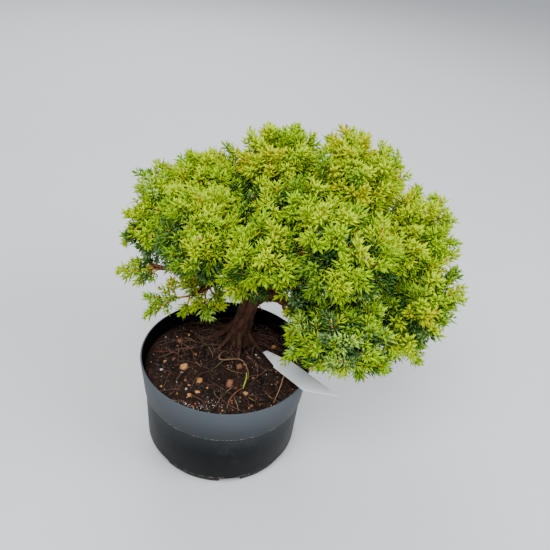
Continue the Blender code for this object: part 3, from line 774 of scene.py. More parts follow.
skin.data.shade_smooth()

bark, shader, place = new_finish("peeling_bark", 0.88, 0.2)
strip_place = add_node(place, "Attribute", attribute_name="along_grain").outputs["Vector"]
coarse = grain(strip_place, 420.0, 5.0, 0.7)
fine = grain(strip_place, 1500.0, 4.0, 0.7)
strip = ramp(coarse, 0.34, 0.66)
# Painted shade: the bark's lowest 46 mm over the compost is painted darker for the shadow under the crown.
# dry is 1 above that painted shade, and the grey patches keep to there.
dry = ramp(height_of(place), SOIL_TOP_Z, SOIL_TOP_Z + 0.046)
painted_shade_bark = tinted(strip, (0.012, 0.0055, 0.0035), (0.080, 0.036, 0.021))
colour = tinted(dry, painted_shade_bark, tinted(strip, (0.040, 0.017, 0.010), (0.18, 0.075, 0.042)))
colour = tinted(times(ramp(fine, 0.55, 0.75), 0.8), colour, (0.26, 0.13, 0.080))
greyed = times(ramp(grain(place, 160.0), 0.52, 0.70), 0.35)
colour = tinted(times(greyed, dry), colour, (0.15, 0.10, 0.075))
feed(shader, "Base Color", colour)
relief(shader, times(coarse, fine), 0.0007, 0.9)
dress(skin, "trunk_and_boughs", [bark], ["trunk", *BOUGHS])

# ---------------------------------------------------------------- label
# A blank plant label cut from white plastic sheet: a pointed strip with small shoulders and a slanted
# end. It is pushed under the crown and lies from the compost out over the rim.

LABEL_TIP = Vector((0.0262, 0.0170, 0.0614))
LABEL_OVER_RIM = Vector((0.0535, -0.0213, POT_HEIGHT + 0.0017))
LABEL_ROLL = math.radians(4)
LABEL_LENGTH = 0.078
LABEL_WIDTH = 0.0135
LABEL_POINT = 0.021
LABEL_TIP_WIDTH = 0.0034
LABEL_SHOULDER = 0.0012
LABEL_END_SLANT = 0.020
LABEL_THICKNESS = 0.0006
LABEL_BOW = 0.0005
LABEL_CUTS = 5

neck_width = LABEL_WIDTH - 2 * LABEL_SHOULDER
label = start_from(bpy.ops.mesh.primitive_plane_add, size=1, location=(LABEL_POINT / 2, 0, 0))
label.scale = (LABEL_POINT, neck_width, 1)
bpy.ops.object.transform_apply()
label_steps = [
    (LABEL_SHOULDER, LABEL_WIDTH / neck_width),
    (LABEL_LENGTH - LABEL_POINT - LABEL_SHOULDER, 1.0),
]
for vert in label.data.vertices:
    if vert.co.x < LABEL_POINT / 2:
        vert.co.y *= LABEL_TIP_WIDTH / neck_width
for step, widening in label_steps:
    furthest = max(vert.co.x for vert in label.data.vertices)
    for vert in label.data.vertices:
        vert.select = vert.co.x > furthest - LABEL_SHOULDER / 4
    for edge in label.data.edges:
        edge.select = all(label.data.vertices[corner].select for corner in edge.vertices)
    for face in label.data.polygons:
        face.select = False
    bpy.ops.object.mode_set(mode="EDIT")
    bpy.ops.mesh.select_mode(type="EDGE")
    bpy.ops.mesh.extrude_region_move(TRANSFORM_OT_translate={"value": (step, 0, 0)})
    bpy.ops.transform.resize(value=(1, widening, 1), center_override=(0, 0, 0))
    leave_edit()
for vert in label.data.vertices:
    if vert.co.x > LABEL_LENGTH - LABEL_SHOULDER and vert.co.y < 0:
        vert.co.x -= LABEL_END_SLANT
edit_all()
bpy.ops.mesh.subdivide(number_cuts=LABEL_CUTS)
leave_edit()
for vert in label.data.vertices:
    share = vert.co.x / LABEL_LENGTH
    vert.co.z += LABEL_BOW * math.sin(math.pi * share) - 0.3 * LABEL_BOW * (vert.co.y / LABEL_WIDTH) ** 2
work_in(label, "SOLIDIFY", thickness=LABEL_THICKNESS, offset=1.0)
work_in(label, "BEVEL", width=LABEL_THICKNESS / 5, segments=2, angle_limit=math.radians(50))
ahead = (LABEL_OVER_RIM - LABEL_TIP).normalized()
side = Vector((0, 0, 1)).cross(ahead).normalized()
side = (side * math.cos(LABEL_ROLL) + ahead.cross(side) * math.sin(LABEL_ROLL)).normalized()
lie = Matrix((ahead, side, ahead.cross(side))).transposed().to_4x4()
label.data.transform(Matrix.Translation(LABEL_TIP) @ lie)
bpy.ops.object.shade_smooth_by_angle(angle=math.radians(35))

card, shader, place = new_finish("white_label_plastic", 0.38)
smear = ramp(grain(place, 140.0, 6.0, 0.75), 0.48, 0.72)
near_soil = ramp(height_of(place), LABEL_TIP.z + 0.0005, LABEL_TIP.z + 0.006, flip=True)
colour = tinted(smear, (0.80, 0.83, 0.87), (0.69, 0.71, 0.73))
colour = tinted(times(near_soil, smear), colour, (0.14, 0.09, 0.06))
feed(shader, "Base Color", colour)
gloss(shader, smear, 0.32, 0.55)
relief(shader, grain(place, 1200.0, 3.0), 0.00006, 0.4)
dress(label, "blank_plant_label", [card], ["label"])

# ---------------------------------------------------------------- spaces of the masses
# The crown is a low dome of cushions of foliage. Each keeps to its own space, an ellipsoid that a
# plane parts from each neighbour's, and is carried by one limb's tip.

MASSES = {  # name: carrier, centre and reach in millimetres, plumes, tone
    "foliage_left_low": ("bough_left_low", (-39, 18, 96), (32, 18, 18), 0, "fresh"),
    "foliage_left_tip": ("bough_left_tip", (-67, 27, 115.5), (19, 14, 11), 0, "cool"),
    "foliage_left": ("bough_left", (-47.5, 41, 150), (34, 40, 38), 42, "sunny"),
    "foliage_front_left": ("bough_front_left", (-18, 6, 160), (38, 37, 36), 42, "sunny"),
    "foliage_front": ("bough_front", (20, -8, 157), (38, 37, 37), 42, "fresh"),
    "foliage_centre": ("bough_centre", (32, 26, 173), (34, 34, 31), 36, "fresh"),
    "foliage_centre_right": ("bough_centre_right", (63, -11, 168), (41, 37, 37), 44, "fresh"),
    "foliage_top_left": ("bough_top_left", (-23, 57, 165), (42, 39, 29), 42, "sunny"),
    "foliage_top": ("trunk", (22, 62, 184), (41, 40, 34), 42, "golden"),
    "foliage_top_right": ("bough_top_right", (70, 47, 186), (41, 41, 38), 44, "golden"),
    "foliage_right": ("bough_right_high", (108, 28, 159), (37, 42, 40), 44, "golden"),
    "foliage_right_low": ("bough_right", (116, -2, 125), (39, 37, 37), 42, "pale"),
    "foliage_front_right": ("bough_front_right", (74, -22, 117), (41, 34, 37), 50, "cool"),
    "foliage_back_left": ("bough_back_left", (-34, 88, 138), (46, 37, 39), 42, "fresh"),
    "foliage_back": ("bough_back", (24, 102, 150), (50, 36, 39), 42, "fresh"),
    "foliage_back_right": ("bough_back_right", (78, 90, 149), (48, 40, 41), 42, "golden"),
    "foliage_right_back": ("bough_right_back", (107, 56, 123), (37, 36, 33), 38, "fresh"),
}
SKIRT = (0, -0.59, -0.81)
TRIMS = {  # where a mass ends before its space does: a point of the edge, and the way out
    "foliage_front": ((20, -25, 148.5), SKIRT),
    "foliage_front_right": ((72, -45, 106.5), SKIRT),
    "foliage_right_low": ((135, 0, 118), (0.86, -0.30, -0.41)),
}
CELL_GAP = 0.0005
CELL_OVERLAP = 0.004  # how far a shoot may grow past the plane to a neighbour
SIDES_OF_CROWN = {"left": (-1.0, 0.0), "middle": (0.0, 0.070), "right": (0.070, 1.0)}


def side_of(x):
    """The side of the crown that a place across it belongs to."""
    return next(side for side, (low, high) in SIDES_OF_CROWN.items() if low <= x < high)


def full_reach(reach, direction):
    """The distance from an ellipsoid's centre to its surface along a unit direction."""
    return 1 / math.sqrt(sum((direction[i] / reach[i]) ** 2 for i in range(3)))


def plan_cells():
    """name -> the centre and reach of each mass, and the planes that part it from the others."""
    spaces = {name: (spot(mass[1]), in_metres(mass[2])) for name, mass in MASSES.items()}
    found = {}
    for name, (centre, reach) in spaces.items():
        planes = []
        for other, (other_centre, other_reach) in spaces.items():
            if other == name:
                continue
            apart = other_centre - centre
            towards = apart.normalized()
            own = full_reach(reach, towards)
            facing = full_reach(other_reach, towards)
            middle = centre + towards * (apart.length * own / (own + facing) - CELL_GAP)
            planes.append((middle, towards))
        if name in TRIMS:
            edge, way_out = TRIMS[name]
            planes.append((spot(edge), Vector(way_out).normalized()))
        found[name] = (centre, reach, planes)
    return found


def room_along(cell, direction):
    """How far a cell reaches from its centre along a unit direction."""
    centre, reach, planes = cell
    room = full_reach(reach, direction)
    for point, normal in planes:
        slope = direction.dot(normal)
        if slope > 0:
            room = min(room, (point - centre).dot(normal) / slope)
    return room


def inside(cell, point):
    centre, reach, planes = cell
    offset = point - centre
    if sum((offset[i] / reach[i]) ** 2 for i in range(3)) > 1:
        return False
    return all((point - middle).dot(normal) <= CELL_OVERLAP for middle, normal in planes)


def clear_of_limbs(point, gap):
    """True if a point keeps the gap to every limb."""
    for path, radii in limbs.values():
        coarse = path[::2]
        for number, (a, b) in enumerate(zip(coarse, coarse[1:])):
            run = b - a
            share = min(max((point - a).dot(run) / run.length_squared, 0.0), 1.0)
            thickness = along(radii, (number + share) / (len(coarse) - 1))
            if (point - a - run * share).length < thickness + gap:
                return False
    return True


def even_directions(count, dice):
    """Directions spread evenly over a sphere, each moved a little."""
    golden = math.pi * (3 - math.sqrt(5))
    turn = dice.uniform(0, 2 * math.pi)
    for number in range(count):
        z = 1 - 2 * (number + 0.5) / count
        flat = math.sqrt(1 - z * z)
        angle = golden * number + turn
        shift = Vector((dice.gauss(0, 0.09), dice.gauss(0, 0.09), dice.gauss(0, 0.09)))
        yield (Vector((flat * math.cos(angle), flat * math.sin(angle), z)) + shift).normalized()


# ---------------------------------------------------------------- growth of the crown
# A juniper branches without end: a stem carries twigs, a twig carries plumes, and a plume is a young golden
# twig with leafy shoots all round. Tips that see light are lime, sunlit ones are given brighter colours and
# shaded ones darker colours, a painted light and shade, and the older wood inside is shaggy with dry needles.

FIRST_SEED = 20
MAIN_TWIGS = 9
MAIN_REACH = (0.42, 0.58)
UNDER_PLUMES = 0.70  # shaded plumes under the outer ones, as a share of their number
UNDER_TIPS = (0.48, 0.78)  # where those end, as a share of the room
PLUME_LENGTH = (0.024, 0.034)
PLUME_LIFT = 0.55
PLUME_BARE = 0.34
PLUME_GAP = 0.0021
SHOOTS_TO_A_PLUME = (4, 6)
SHOOT_PLACES = (0.26, 0.80)
SHOOT_TURN = math.radians(137.5)
SHOOT_ANGLE = (28, 48)
SHOOT_REACH = 0.50  # as a share of its plume
OPEN_SHOOTS = 0.8  # and the share of that on the plumes that stand open
SHOOT_BARE = 0.18
SHOOT_GAP = 0.0020
DRY_GAP = 0.0015
INNER_SHOOTS = 34
INNER_LENGTH = 0.019
DRY_STRETCHES = 4
OFF_LIMBS = {"shoot": 0.001, "plume": 0.002}
WANDER = 0.16
SAME_KIND = 0.75  # share of a plume's shoots that have its kind of tip
TWIG_RADII = {
    "stem": 0.0011, "main": (0.00105, 0.00062), "fork": (0.00062, 0.00050),
    "plume": (0.00080, 0.00042), "shoot": (0.00036, 0.00022), "inner": (0.00045, 0.00022),
}
SHAGGY = {"bough_right": 2.5, "bough_left_low": 1.0, "bough_left_tip": 0.9, "other": 1.1}
TIP_SHARE = (0.82, 1.0)  # where the outer plumes end, as a share of the room
CLUMP_SIZE = 0.018
CLUMP_DEPTH = 0.14  # how far clumps stand out or lie back, as a share of the room
TIP_ROOM = 0.0040  # what the needles take past a plume's end
CROWDED = 0.60  # share of its reach that a direction needs, or a neighbour's foliage covers it
CROWDED_KEPT = 0.60  # share of the covered plumes that grow all the same
KINDS = ("bright", "lime", "golden", "pale", "green", "blue", "deep", "scorched", "dry")
TONES = {  # the share of tips of each kind of colour, the older needles' kind, how far up those go
    # sunny gives brighter tips, a painted light; shaded and inner give darker ones, a painted shade
    "fresh": ((0.48, 0.38, 0.03, 0.03, 0.08, 0.0, 0.0), "green", 0.30),
    "sunny": ((0.56, 0.34, 0.05, 0.02, 0.03, 0.0, 0.0), "lime", 0.26),
    "golden": ((0.52, 0.18, 0.27, 0.0, 0.03, 0.0, 0.0), "lime", 0.26),
    "pale": ((0.28, 0.34, 0.06, 0.16, 0.12, 0.04, 0.0), "green", 0.40),
    "cool": ((0.16, 0.38, 0.0, 0.26, 0.15, 0.05, 0.0), "blue", 0.46),
    "shaded": ((0.0, 0.12, 0.0, 0.06, 0.38, 0.24, 0.20), "blue", 0.45),
    "inner": ((0.0, 0.0, 0.0, 0.0, 0.40, 0.12, 0.48), "deep", 0.40),
}
# the under plumes are mostly given darker colours than the outer ones, a painted shade inside the crown
UNDER_TONES = {  # the tone of the shaded plumes under those of a mass's own tone
    "sunny": "fresh", "golden": "fresh", "fresh": "inner", "pale": "inner", "cool": "inner",
}
PLUME_TURNS = 0.62  # how far up a plume's own twig the older needles go
# Plumes that face this way are given the darker shaded colours, a painted shade.
SHADED_SIDE = {  # the way that faces the shade, and the cosine of how far round from it shade goes
    "foliage_left": ((0, 0, -1), -0.12),
    "foliage_front_left": ((-0.55, -0.20, -0.81), 0.10),
    "other": ((0, 0, -1), 0.20),
}
OPEN_PLUMES = {  # the two open sprays and stray plumes: tone, then fork and tip in millimetres
    "foliage_left_low": [
        ("fresh", -29.8, 22.6, 99.2, -58, 15, 100.6), ("fresh", -37.7, 20, 99.1, -55.8, 8, 92.5),
        ("golden", -39.1, 20, 98.9, -43.4, 24, 109.8), ("fresh", -25.1, 23, 102.1, -36, 24, 119.9),
        ("golden", -21.8, 23.5, 104.8, -28.6, 29, 116.8), ("fresh", -29.7, 22, 98.8, -31.9, 12, 92.1),
        ("fresh", -19.8, 23.6, 105.9, -15.4, 7, 94.9), ("fresh", -17.1, 23.8, 107.8, -6.7, 10, 104.1),
        ("fresh", -19.8, 23.6, 105.9, -24.2, 10, 99.8), ("golden", -22.2, 19, 97.7, -28.6, 16, 128.5),
        ("fresh", -22.2, 20, 98.5, -31.8, 19, 123), ("fresh", -10.2, 12, 98.7, -9.4, 16, 114.3),
        ("cool", -21.1, 23.6, 104.8, -25.2, 30, 110.8), ("cool", -13.8, 24, 110.7, -14.3, 30, 116.5),
    ],
    "foliage_left_tip": [
        ("fresh", -54.4, 27, 117, -78, 22, 113.3), ("cool", -54.4, 27, 117, -70.2, 30, 117.7),
        ("shaded", -51.6, 27, 116.5, -63.4, 20, 111.4), ("shaded", -50.2, 27, 116.7, -62.9, 34, 117.9),
    ],
    "foliage_left": [
        ("fresh", -52, 45, 163.1, -68.9, 55, 173.1), ("fresh", -46.3, 50, 165.1, -59.6, 65, 177.2),
        ("fresh", -65.4, 30, 146.7, -74.1, 22, 138.7),
    ],
    "foliage_top_left": [
        ("fresh", -5.8, 60, 178.9, -13.5, 72, 191.6), ("golden", -16.6, 60, 177.5, -24.5, 75, 184.7),
    ],
    "foliage_top_right": [
        ("golden", 63.7, 60, 196.2, 51.6, 68, 206.9), ("golden", 66.4, 55, 198.7, 61.6, 62, 217.1),
    ],
    "foliage_centre_right": [
        ("fresh", 55, 18, 156, 68, 22, 180), ("shaded", 56, 16, 150, 78, 17, 167),
        ("shaded", 52, 20, 152, 64, 29, 173),
    ],
    "foliage_front_left": [
        ("fresh", 5.7, 26, 160.7, 3, 16, 177.7), ("shaded", 6.5, 28, 165.5, 7.3, 20, 181.1),
    ],
    "foliage_front": [
        ("fresh", 42, -13, 140, 27.5, -28, 157.9), ("shaded", 5.7, -4, 134.2, 20.3, -18, 138.5),
        ("fresh", 8.7, -4, 145.2, 0.7, -20, 135.7), ("fresh", 11.2, -4, 144, 6.3, -20, 133.5),
        ("fresh", 6.4, -2, 148, -4.6, -14, 140.3), ("fresh", 12.7, -6, 146.1, 13.2, -22, 146.8),
    ],
    "foliage_front_right": [
        ("cool", 46.2, -11, 129, 37.2, -15, 121.5), ("cool", 47.5, -15, 120.1, 39.5, -24, 113),
        ("cool", 49.5, -18, 113.5, 41.2, -36, 104.8), ("cool", 65.1, -30, 113.7, 58.7, -45, 107.6),
        ("cool", 73.7, -32, 116.7, 73.6, -50, 110.5), ("cool", 83.4, -30, 114.1, 84.1, -46, 105.3),
        ("cool", 91, -26, 114.3, 98.6, -36, 108.9), ("cool", 94.4, -22, 123.4, 107.7, -30, 114.7),
        ("shaded", 44.7, -8, 124.9, 40.8, -20, 140), ("shaded", 52.5, -8, 133, 44.3, -20, 150.7),
        ("shaded", 56, -2, 127, 39.5, -11, 137.5),
    ],
    "foliage_back_right": [
        ("inner", 26, 45, 104.5, 33.6, 50, 94), ("inner", 25, 44.5, 106, 29, 45, 97),
    ],
    "foliage_right_low": [
        ("pale", 120.2, 0, 141.7, 122.3, -10, 157.8), ("pale", 112.9, -12, 114.1, 122.7, -22, 101.8),
        ("fresh", 124.4, -4, 137.5, 139.9, -8, 151.7), ("fresh", 123.9, 0, 142.2, 138.8, 4, 155.2),
    ],
    "foliage_right": [
        ("golden", 109.6, 35, 174.7, 111.5, 45, 189.3), ("golden", 117, 30, 173.3, 119.9, 34, 190.1),
    ],
}

Shoot = collections.namedtuple("Shoot", "base tip bow bare gap vigour kind older turns side")
shoots = []
twigs = {"woody": [], "golden": [], "leafy": []}  # path, first and last radius


def pick_kind(tone, dice):
    shares = TONES[tone][0]
    return dice.choices(KINDS[: len(shares)], shares)[0]


def bent(start, end, bow, steps):
    """Points from start to end that bow to one side."""
    shares = [step / steps for step in range(steps + 1)]
    return [start.lerp(end, share) + bow * (4 * share * (1 - share)) for share in shares]


def add_dry(path, first, side, vigour):
    """Dry brown needles and shreds of bark along a limb or an older twig, in straight stretches."""
    for number in range(DRY_STRETCHES):
        base, tip = (along(path, first + (1 - first) * (number + end) / DRY_STRETCHES) for end in (0, 1))
        shoots.append(Shoot(base, tip, Vector(), 0.0, DRY_GAP, vigour, "dry", "dry", 0.0, side))


def add_plume(cell, fork, end, growth, tone, side, dice, length):
    """A young twig from a fork to its tip, with needles and, all round it, leafy shoots."""
    base = end - growth * length
    kind = pick_kind(tone, dice)
    _, older, turns = TONES[tone]
    droop = Vector((0, 0, -1)) * length * dice.uniform(0.02, 0.07)
    if (base - fork).length > 0.001:
        sag = Vector((dice.gauss(0, 0.05), dice.gauss(0, 0.05), -0.08)) * (base - fork).length
        twigs["woody"].append((bent(fork, base, sag, 4), *TWIG_RADII["fork"]))
    twigs["golden"].append((bent(base, base.lerp(end, 0.94), droop, 4), *TWIG_RADII["plume"]))
    shoots.append(Shoot(base, end, droop, PLUME_BARE, PLUME_GAP, 1.0, kind, older, PLUME_TURNS, side))
    across = growth.orthogonal().normalized()
    turn = dice.uniform(0, 2 * math.pi)
    count = dice.randint(*SHOOTS_TO_A_PLUME)
    for number in range(count):
        share = SHOOT_PLACES[0] + (SHOOT_PLACES[1] - SHOOT_PLACES[0]) * number / (count - 1)
        share += dice.uniform(-0.05, 0.05)
        foot = base.lerp(end, share) + droop * 4 * share * (1 - share)
        angle = math.radians(dice.uniform(*SHOOT_ANGLE)) * (1.1 - 0.35 * share)
        turn += SHOOT_TURN + dice.uniform(-0.4, 0.4)
        out = Matrix.Rotation(turn, 3, growth) @ across
        heading = growth * math.cos(angle) + out * math.sin(angle)
        reach = length * SHOOT_REACH * dice.uniform(0.8, 1.15) * (1.2 - 0.5 * share)
        if not cell:
            reach *= OPEN_SHOOTS
        elif not inside(cell, foot + heading * (reach + TIP_ROOM)):
            reach *= 0.6
        tip = foot + heading * reach
        if cell and not inside(cell, tip + heading * TIP_ROOM):
            continue
        if not clear_of_limbs(tip, OFF_LIMBS["shoot"]):
            continue
        own_kind = kind if dice.random() < SAME_KIND else pick_kind(tone, dice)
        vigour = dice.uniform(0.88, 1.1)
        bow = growth * reach * -0.06
        shoots.append(Shoot(foot, tip, bow, SHOOT_BARE, SHOOT_GAP, vigour, own_kind, older, turns, side))
        twigs["leafy"].append((bent(foot, tip, bow, 1), *TWIG_RADII["shoot"]))


def grow_mass(name, cell, dice):
    """The stem, twigs and plumes of one mass."""
    carrier, _, _, plumes, tone = MASSES[name]
    path, radii = limbs[carrier]
    centre = cell[0]
    side = side_of(centre.x)
    for own_tone, *ends in OPEN_PLUMES.get(name, ()):
        fork, end = spot(ends[:3]), spot(ends[3:])
        growth = (end - fork).normalized()
        add_plume(None, fork, end, growth, own_tone, side, dice, (end - fork).length * 0.99)
    if not plumes:
        return
    ahead = (path[-1] - path[-2]).normalized()
    start = path[-1] - ahead * radii[-1]
    bend = path[-1] + ahead * 0.006
    stem = smooth_path([start, bend, centre], 2)
    twigs["woody"].append((stem, radii[-1] * 0.95, TWIG_RADII["stem"]))
    add_dry(stem, 0.0, side, 0.9)
    mains = []
    for direction in even_directions(MAIN_TWIGS, dice):
        fork = bend.lerp(centre, dice.uniform(0.25, 1.0))
        end = centre + direction * room_along(cell, direction) * dice.uniform(*MAIN_REACH)
        bow = Vector((0, 0, -1)) * (end - fork).length * 0.08
        main = bent(fork, end, bow, 4)
        mains.append((direction, main))
        twigs["woody"].append((main, *TWIG_RADII["main"]))
        add_dry(main, 0.35, side, 0.75)
    under = round(plumes * UNDER_PLUMES)
    layers = [(direction, TIP_SHARE, tone) for direction in even_directions(plumes, dice)]
    layers += [(direction, UNDER_TIPS, UNDER_TONES[tone]) for direction in even_directions(under, dice)]
    shade_way, shade_start = SHADED_SIDE.get(name, SHADED_SIDE["other"])
    for direction, tips, own_tone in layers:
        room = room_along(cell, direction) - TIP_ROOM
        # Plumes that a neighbour covers take the inner tone and those that face the shaded side the shaded
        # tone: darker colours, a painted shade.
        if room < CROWDED * full_reach(cell[1], direction) - TIP_ROOM:
            if dice.random() > CROWDED_KEPT:
                continue
            own_tone = "inner"
        elif direction.dot(Vector(shade_way)) > shade_start:
            own_tone = "shaded" if own_tone == tone else "inner"
        clump = noise.noise((centre + direction * room) / CLUMP_SIZE) * CLUMP_DEPTH
        end = centre + direction * room * min(dice.uniform(*tips) + clump, 1.0)
        growth = (direction + Vector((0, 0, PLUME_LIFT * dice.uniform(0.5, 1.3)))).normalized()
        growth = (growth + Vector([dice.gauss(0, WANDER) for _ in range(3)])).normalized()
        _, main = max(mains, key=lambda found: found[0].dot(direction))
        length = min(dice.uniform(*PLUME_LENGTH), (end - centre).length * 0.85)
        if clear_of_limbs(end, OFF_LIMBS["plume"]):
            fork = along(main, dice.uniform(0.5, 1.0))
            add_plume(cell, fork, end, growth, own_tone, side, dice, length)


def fill_inside(path, side, dice):
    """Shaded shoots straight off a limb, wherever they stay inside the crown."""
    for _ in range(INNER_SHOOTS):
        foot = along(path, dice.uniform(0.5, 1.0))
        heading = Vector([dice.gauss(0, 1) for _ in range(3)]).normalized()
        tip = foot + heading * INNER_LENGTH
        if any(inside(cell, tip) for cell in cells.values()):
            kind = pick_kind("inner", dice)
            shoots.append(Shoot(foot, tip, Vector(), 0.2, SHOOT_GAP, 1.0, kind, "deep", 0.5, side))
            twigs["leafy"].append((bent(foot, tip, Vector(), 1), *TWIG_RADII["inner"]))


cells = plan_cells()
for number, (name, cell) in enumerate(cells.items()):
    grow_mass(name, cell, random.Random(FIRST_SEED + number))
for name, (path, _) in limbs.items():
    side = side_of(path[-1].x)
    if name not in ("bough_left_low", "bough_left_tip"):
        fill_inside(path, side, random.Random(name))
    if name in BOUGHS:
        add_dry(path, 0.1, side, SHAGGY.get(name, SHAGGY["other"]))

# ---------------------------------------------------------------- twigs
# The finer wood: brown woody twigs, the golden young twigs of the plumes and the green stems of the
# leafy shoots.

TWIG_SIDES = {"woody": 6, "golden": 5, "leafy": 4}
TWIG_COLOURS = {
    "woody": ((0.075, 0.030, 0.016), (0.23, 0.10, 0.045)),
    "golden": ((0.50, 0.26, 0.010), (0.68, 0.48, 0.02)),
    "leafy": ((0.34, 0.34, 0.005), (0.50, 0.50, 0.01)),
}
for name, runs in twigs.items():
    paths = np.array([[tuple(point) for point in path] for path, _, _ in runs])
    shares = np.linspace(0, 1, paths.shape[1])
    ends = np.array([(first, last) for _, first, last in runs])
    thickness = ends[:, :1] * (1 - shares) + ends[:, 1:] * shares
    made = joined_mesh(*tubes(paths, thickness, TWIG_SIDES[name]))
    made.data.shade_smooth()
    dress(made, name + "_twigs", [strand_finish(name + "_twig_bark", *TWIG_COLOURS[name])], MASSES)

# ---------------------------------------------------------------- needles
# Stiff awl-shaped needles in threes round every shoot, each with a sharp point, a keel below and a
# pale waxy upper face. The tip is an open star of them round a small bud. A needle is six faces.
# Each kind of colour is its own piece on each side.

NEEDLE_LENGTH = 0.0060
NEEDLE_WIDTH = 0.00188
WIDEST = 0.40  # share of its length where a needle is widest
BELLY, POINT_LIFT = 0.05, 0.09  # how far it bows down there and up at its point, against its length
EDGE_LIFT, KEEL = 0.12, 0.36  # against its width
SPREAD = (68, 44)  # degrees off the shoot, at its foot and at its tip
BUD_SPREAD = 20
RAGGED = 7
DRY_RAGGED = 20
DRY_SPREAD = 40
BUD_SIZE = 0.5
SCORCHED_BUDS = {"cool": 0.09, "other": 0.02}
NEEDLE_COLOURS = {  # blade, waxy upper face
    "bright": ((0.38, 0.54, 0.0), (0.55, 0.75, 0.0)),
    "lime": ((0.23, 0.42, 0.0), (0.41, 0.67, 0.0)),
    "golden": ((0.46, 0.50, 0.0), (0.60, 0.67, 0.0)),
    "pale": ((0.25, 0.44, 0.015), (0.46, 0.71, 0.12)),
    "green": ((0.095, 0.24, 0.002), (0.24, 0.43, 0.02)),
    "blue": ((0.05, 0.135, 0.028), (0.15, 0.28, 0.10)),
    # the darkest green stands for needles deep in shadow, a painted shade
    "deep": ((0.025, 0.075, 0.006), (0.06, 0.15, 0.03)),
    "scorched": ((0.42, 0.20, 0.11), (0.58, 0.36, 0.24)),
    "dry": ((0.32, 0.13, 0.055), (0.48, 0.24, 0.12)),
}
NEEDLE_FACES = np.array([[0, 2, 1], [2, 4, 1], [0, 1, 3], [1, 4, 3], [0, 3, 2], [2, 3, 4]])
NEEDLE_FINISHES = np.array([1, 1, 0, 0, 0, 0])


def needle_points(luck):
    """Every needle's five points, share of the way up its shoot, place in a bud or not, and shoot."""
    base, tip, bow = (np.array([tuple(shoot[part]) for shoot in shoots]) for part in range(3))
    bare, gap, vigour = np.array([shoot[3:6] for shoot in shoots]).T
    length = np.linalg.norm(tip - base, axis=1)
    whorls = np.maximum(2, np.rint(length * (1 - bare) / gap)).astype(int) + 1
    owner = np.repeat(np.arange(len(shoots)), whorls)
    order = np.arange(len(owner)) - np.repeat(np.cumsum(whorls) - whorls, whorls)
    bud = order == whorls[owner] - 1
    share = bare[owner] + (1 - bare[owner]) * ((order + 0.5) / (whorls[owner] - 0.5)) ** 0.9
    centre = base[owner] + (tip - base)[owner] * share[:, None]
    centre += bow[owner] * (4 * share * (1 - share))[:, None]
    axis = unit((tip - base)[owner] + bow[owner] * (4 * (1 - 2 * share))[:, None])
    other = np.eye(3)[np.argmin(np.abs(axis), axis=1)]
    across = unit(np.cross(axis, other))
    upward = np.cross(axis, across)
    turn = luck.uniform(0, 2 * np.pi, len(shoots))[owner] + order * np.pi / 3
    angle = turn[:, None] + np.arange(3) * 2 * np.pi / 3 + luck.normal(0, 0.16, (len(owner), 3))
    out = across[:, None] * np.cos(angle)[..., None] + upward[:, None] * np.sin(angle)[..., None]
    out = out.reshape(-1, 3)
    axis, centre = np.repeat(axis, 3, axis=0), np.repeat(centre, 3, axis=0)
    share, owner, bud = np.repeat(share, 3), np.repeat(owner, 3), np.repeat(bud, 3)
    spread = SPREAD[0] + (SPREAD[1] - SPREAD[0]) * share**1.5
    dry = np.array([shoot.kind == "dry" for shoot in shoots])[owner]
    spread = np.where(dry, DRY_SPREAD, spread)
    ragged = np.where(dry, DRY_RAGGED, RAGGED)
    spread = np.radians(np.where(bud, BUD_SPREAD, spread) + luck.normal(0, 1, len(share)) * ragged)
    ahead = axis * np.cos(spread)[:, None] + out * np.sin(spread)[:, None]
    top = unit(axis - ahead * np.sum(axis * ahead, axis=1, keepdims=True))
    side = np.cross(top, ahead)
    size = np.where(bud, BUD_SIZE, 1.0) * luck.uniform(0.82, 1.12, len(share))
    long = (NEEDLE_LENGTH * vigour[owner] * size)[:, None]
    wide = (NEEDLE_WIDTH * size**0.6)[:, None]
    middle = centre + ahead * long * WIDEST - top * long * BELLY
    point = centre + ahead * long + top * long * POINT_LIFT
    left = middle + side * wide / 2 + top * wide * EDGE_LIFT
    right = middle - side * wide / 2 + top * wide * EDGE_LIFT
    keel = middle - top * wide * KEEL
    return np.stack([centre, left, right, keel, point], axis=1), share, bud, owner


def needle_finish(name, colour, roughness):
    """A waxy needle's face: an even colour, with its gloss broken up along the blade."""
    finish, shader, place = new_finish(name, roughness, 0.02)
    shader.inputs["Base Color"].default_value = (*colour, 1.0)
    gloss(shader, grain(place, 900.0, 2.0), roughness - 0.1, roughness + 0.1)
    return finish


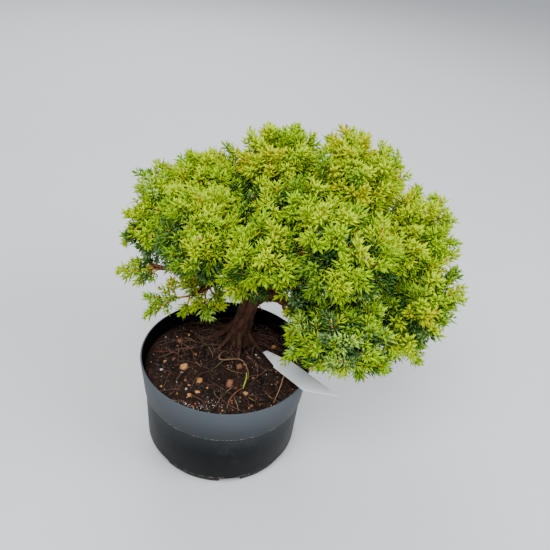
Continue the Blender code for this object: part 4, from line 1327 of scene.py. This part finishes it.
luck = np.random.default_rng(7)
needles, needle_shares, in_bud, owners = needle_points(luck)
turns = np.array([shoot.turns for shoot in shoots])[owners]
young = needle_shares > turns + luck.normal(0, 0.08, len(needle_shares))
kind_numbers = np.array([KINDS.index(shoot.kind) for shoot in shoots])
older_numbers = np.array([KINDS.index(shoot.older) for shoot in shoots])
needle_kinds = np.where(young, kind_numbers[owners], older_numbers[owners])
scorched_share = np.array([SCORCHED_BUDS["cool" if shoot.older == "blue" else "other"] for shoot in shoots])
scorched = (luck.random(len(shoots)) < scorched_share)[owners] & in_bud
needle_kinds[scorched] = KINDS.index("scorched")
sides = list(SIDES_OF_CROWN)
needle_sides = np.array([sides.index(shoot.side) for shoot in shoots])[owners]
for number, kind in enumerate(KINDS):
    blade, wax = NEEDLE_COLOURS[kind]
    finishes = [needle_finish(kind + "_needle", blade, 0.5), needle_finish(kind + "_needle_wax", wax, 0.6)]
    for side_number, side in enumerate(sides):
        own = needles[(needle_kinds == number) & (needle_sides == side_number)]
        faces = np.arange(len(own))[:, None, None] * 5 + NEEDLE_FACES
        made = joined_mesh(own.reshape(-1, 3), [faces.reshape(-1, 3)], np.tile(NEEDLE_FINISHES, len(own)))
        replaced = [name for name, (centre, _, _) in cells.items() if side_of(centre.x) == side]
        dress(made, f"{kind}_needles_{side}", finishes, replaced)

# ---------------------------------------------------------------- studio
# Not part of the plant: a plain pale floor, an even pale room and three large soft lights. The
# camera looks down on the plant at a third of a right angle or so and leans a little to one side.

CAMERA_PLACE = Vector((0.0269, -0.3202, 0.3534))
CAMERA_DOWN = math.radians(33.7)
CAMERA_ROLL = math.radians(6.7)
LENS_PER_SENSOR = 1.1195
LIT_POINT = Vector((0.03, 0.03, 0.12))
LIGHTS = {  # name: place, width, watts, colour
    "key_light": ((-0.20, -0.75, 1.30), 0.9, 22.0, (1.0, 0.985, 0.96)),
    "side_light": ((1.1, -0.3, 0.9), 1.0, 15.0, (0.95, 0.975, 1.0)),
    "back_light": ((-0.3, 1.2, 1.1), 1.0, 15.0, (1.0, 1.0, 1.0)),
}

floor = start_from(bpy.ops.mesh.primitive_plane_add, size=9, location=(0, 0, -0.0002))
floor.name = "studio_floor"
pale, shader, place = new_finish("pale_floor", 0.75)
colour = tinted(grain(place, 3.0), (0.60, 0.61, 0.63), (0.65, 0.66, 0.67))
feed(shader, "Base Color", colour)
floor.data.materials.append(pale)
floor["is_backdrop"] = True

room = bpy.data.worlds.new("pale_room")
room.use_nodes = True
air = room.node_tree.nodes["Background"]
air.inputs["Color"].default_value = (0.86, 0.90, 0.96, 1.0)
air.inputs["Strength"].default_value = 0.70
bpy.context.scene.world = room

for name, (light_place, width, watts, tint) in LIGHTS.items():
    lamp = bpy.data.lights.new(name, "AREA")
    lamp.shape = "DISK"
    lamp.size = width
    lamp.energy = watts
    lamp.color = tint
    light = bpy.data.objects.new(name, lamp)
    light.location = light_place
    light.rotation_euler = (LIT_POINT - Vector(light_place)).to_track_quat("-Z", "Y").to_euler()
    bpy.context.scene.collection.objects.link(light)

lens = bpy.data.cameras.new("camera")
lens.sensor_width = 36.0
lens.lens = lens.sensor_width * LENS_PER_SENSOR
lens.clip_start = 0.01
camera = bpy.data.objects.new("camera", lens)
tilt = Matrix.Rotation(math.pi / 2 - CAMERA_DOWN, 4, "X") @ Matrix.Rotation(CAMERA_ROLL, 4, "Z")
camera.matrix_world = Matrix.Translation(CAMERA_PLACE) @ tilt
bpy.context.scene.collection.objects.link(camera)
bpy.context.scene.camera = camera

# ---------------------------------------------------------------- size and hand-over
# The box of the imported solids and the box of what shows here, side by side.

sizes = {"cad": cad_box, "visual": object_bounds()}
{name: [list(low), list(high)] for name, (low, high) in sizes.items()}
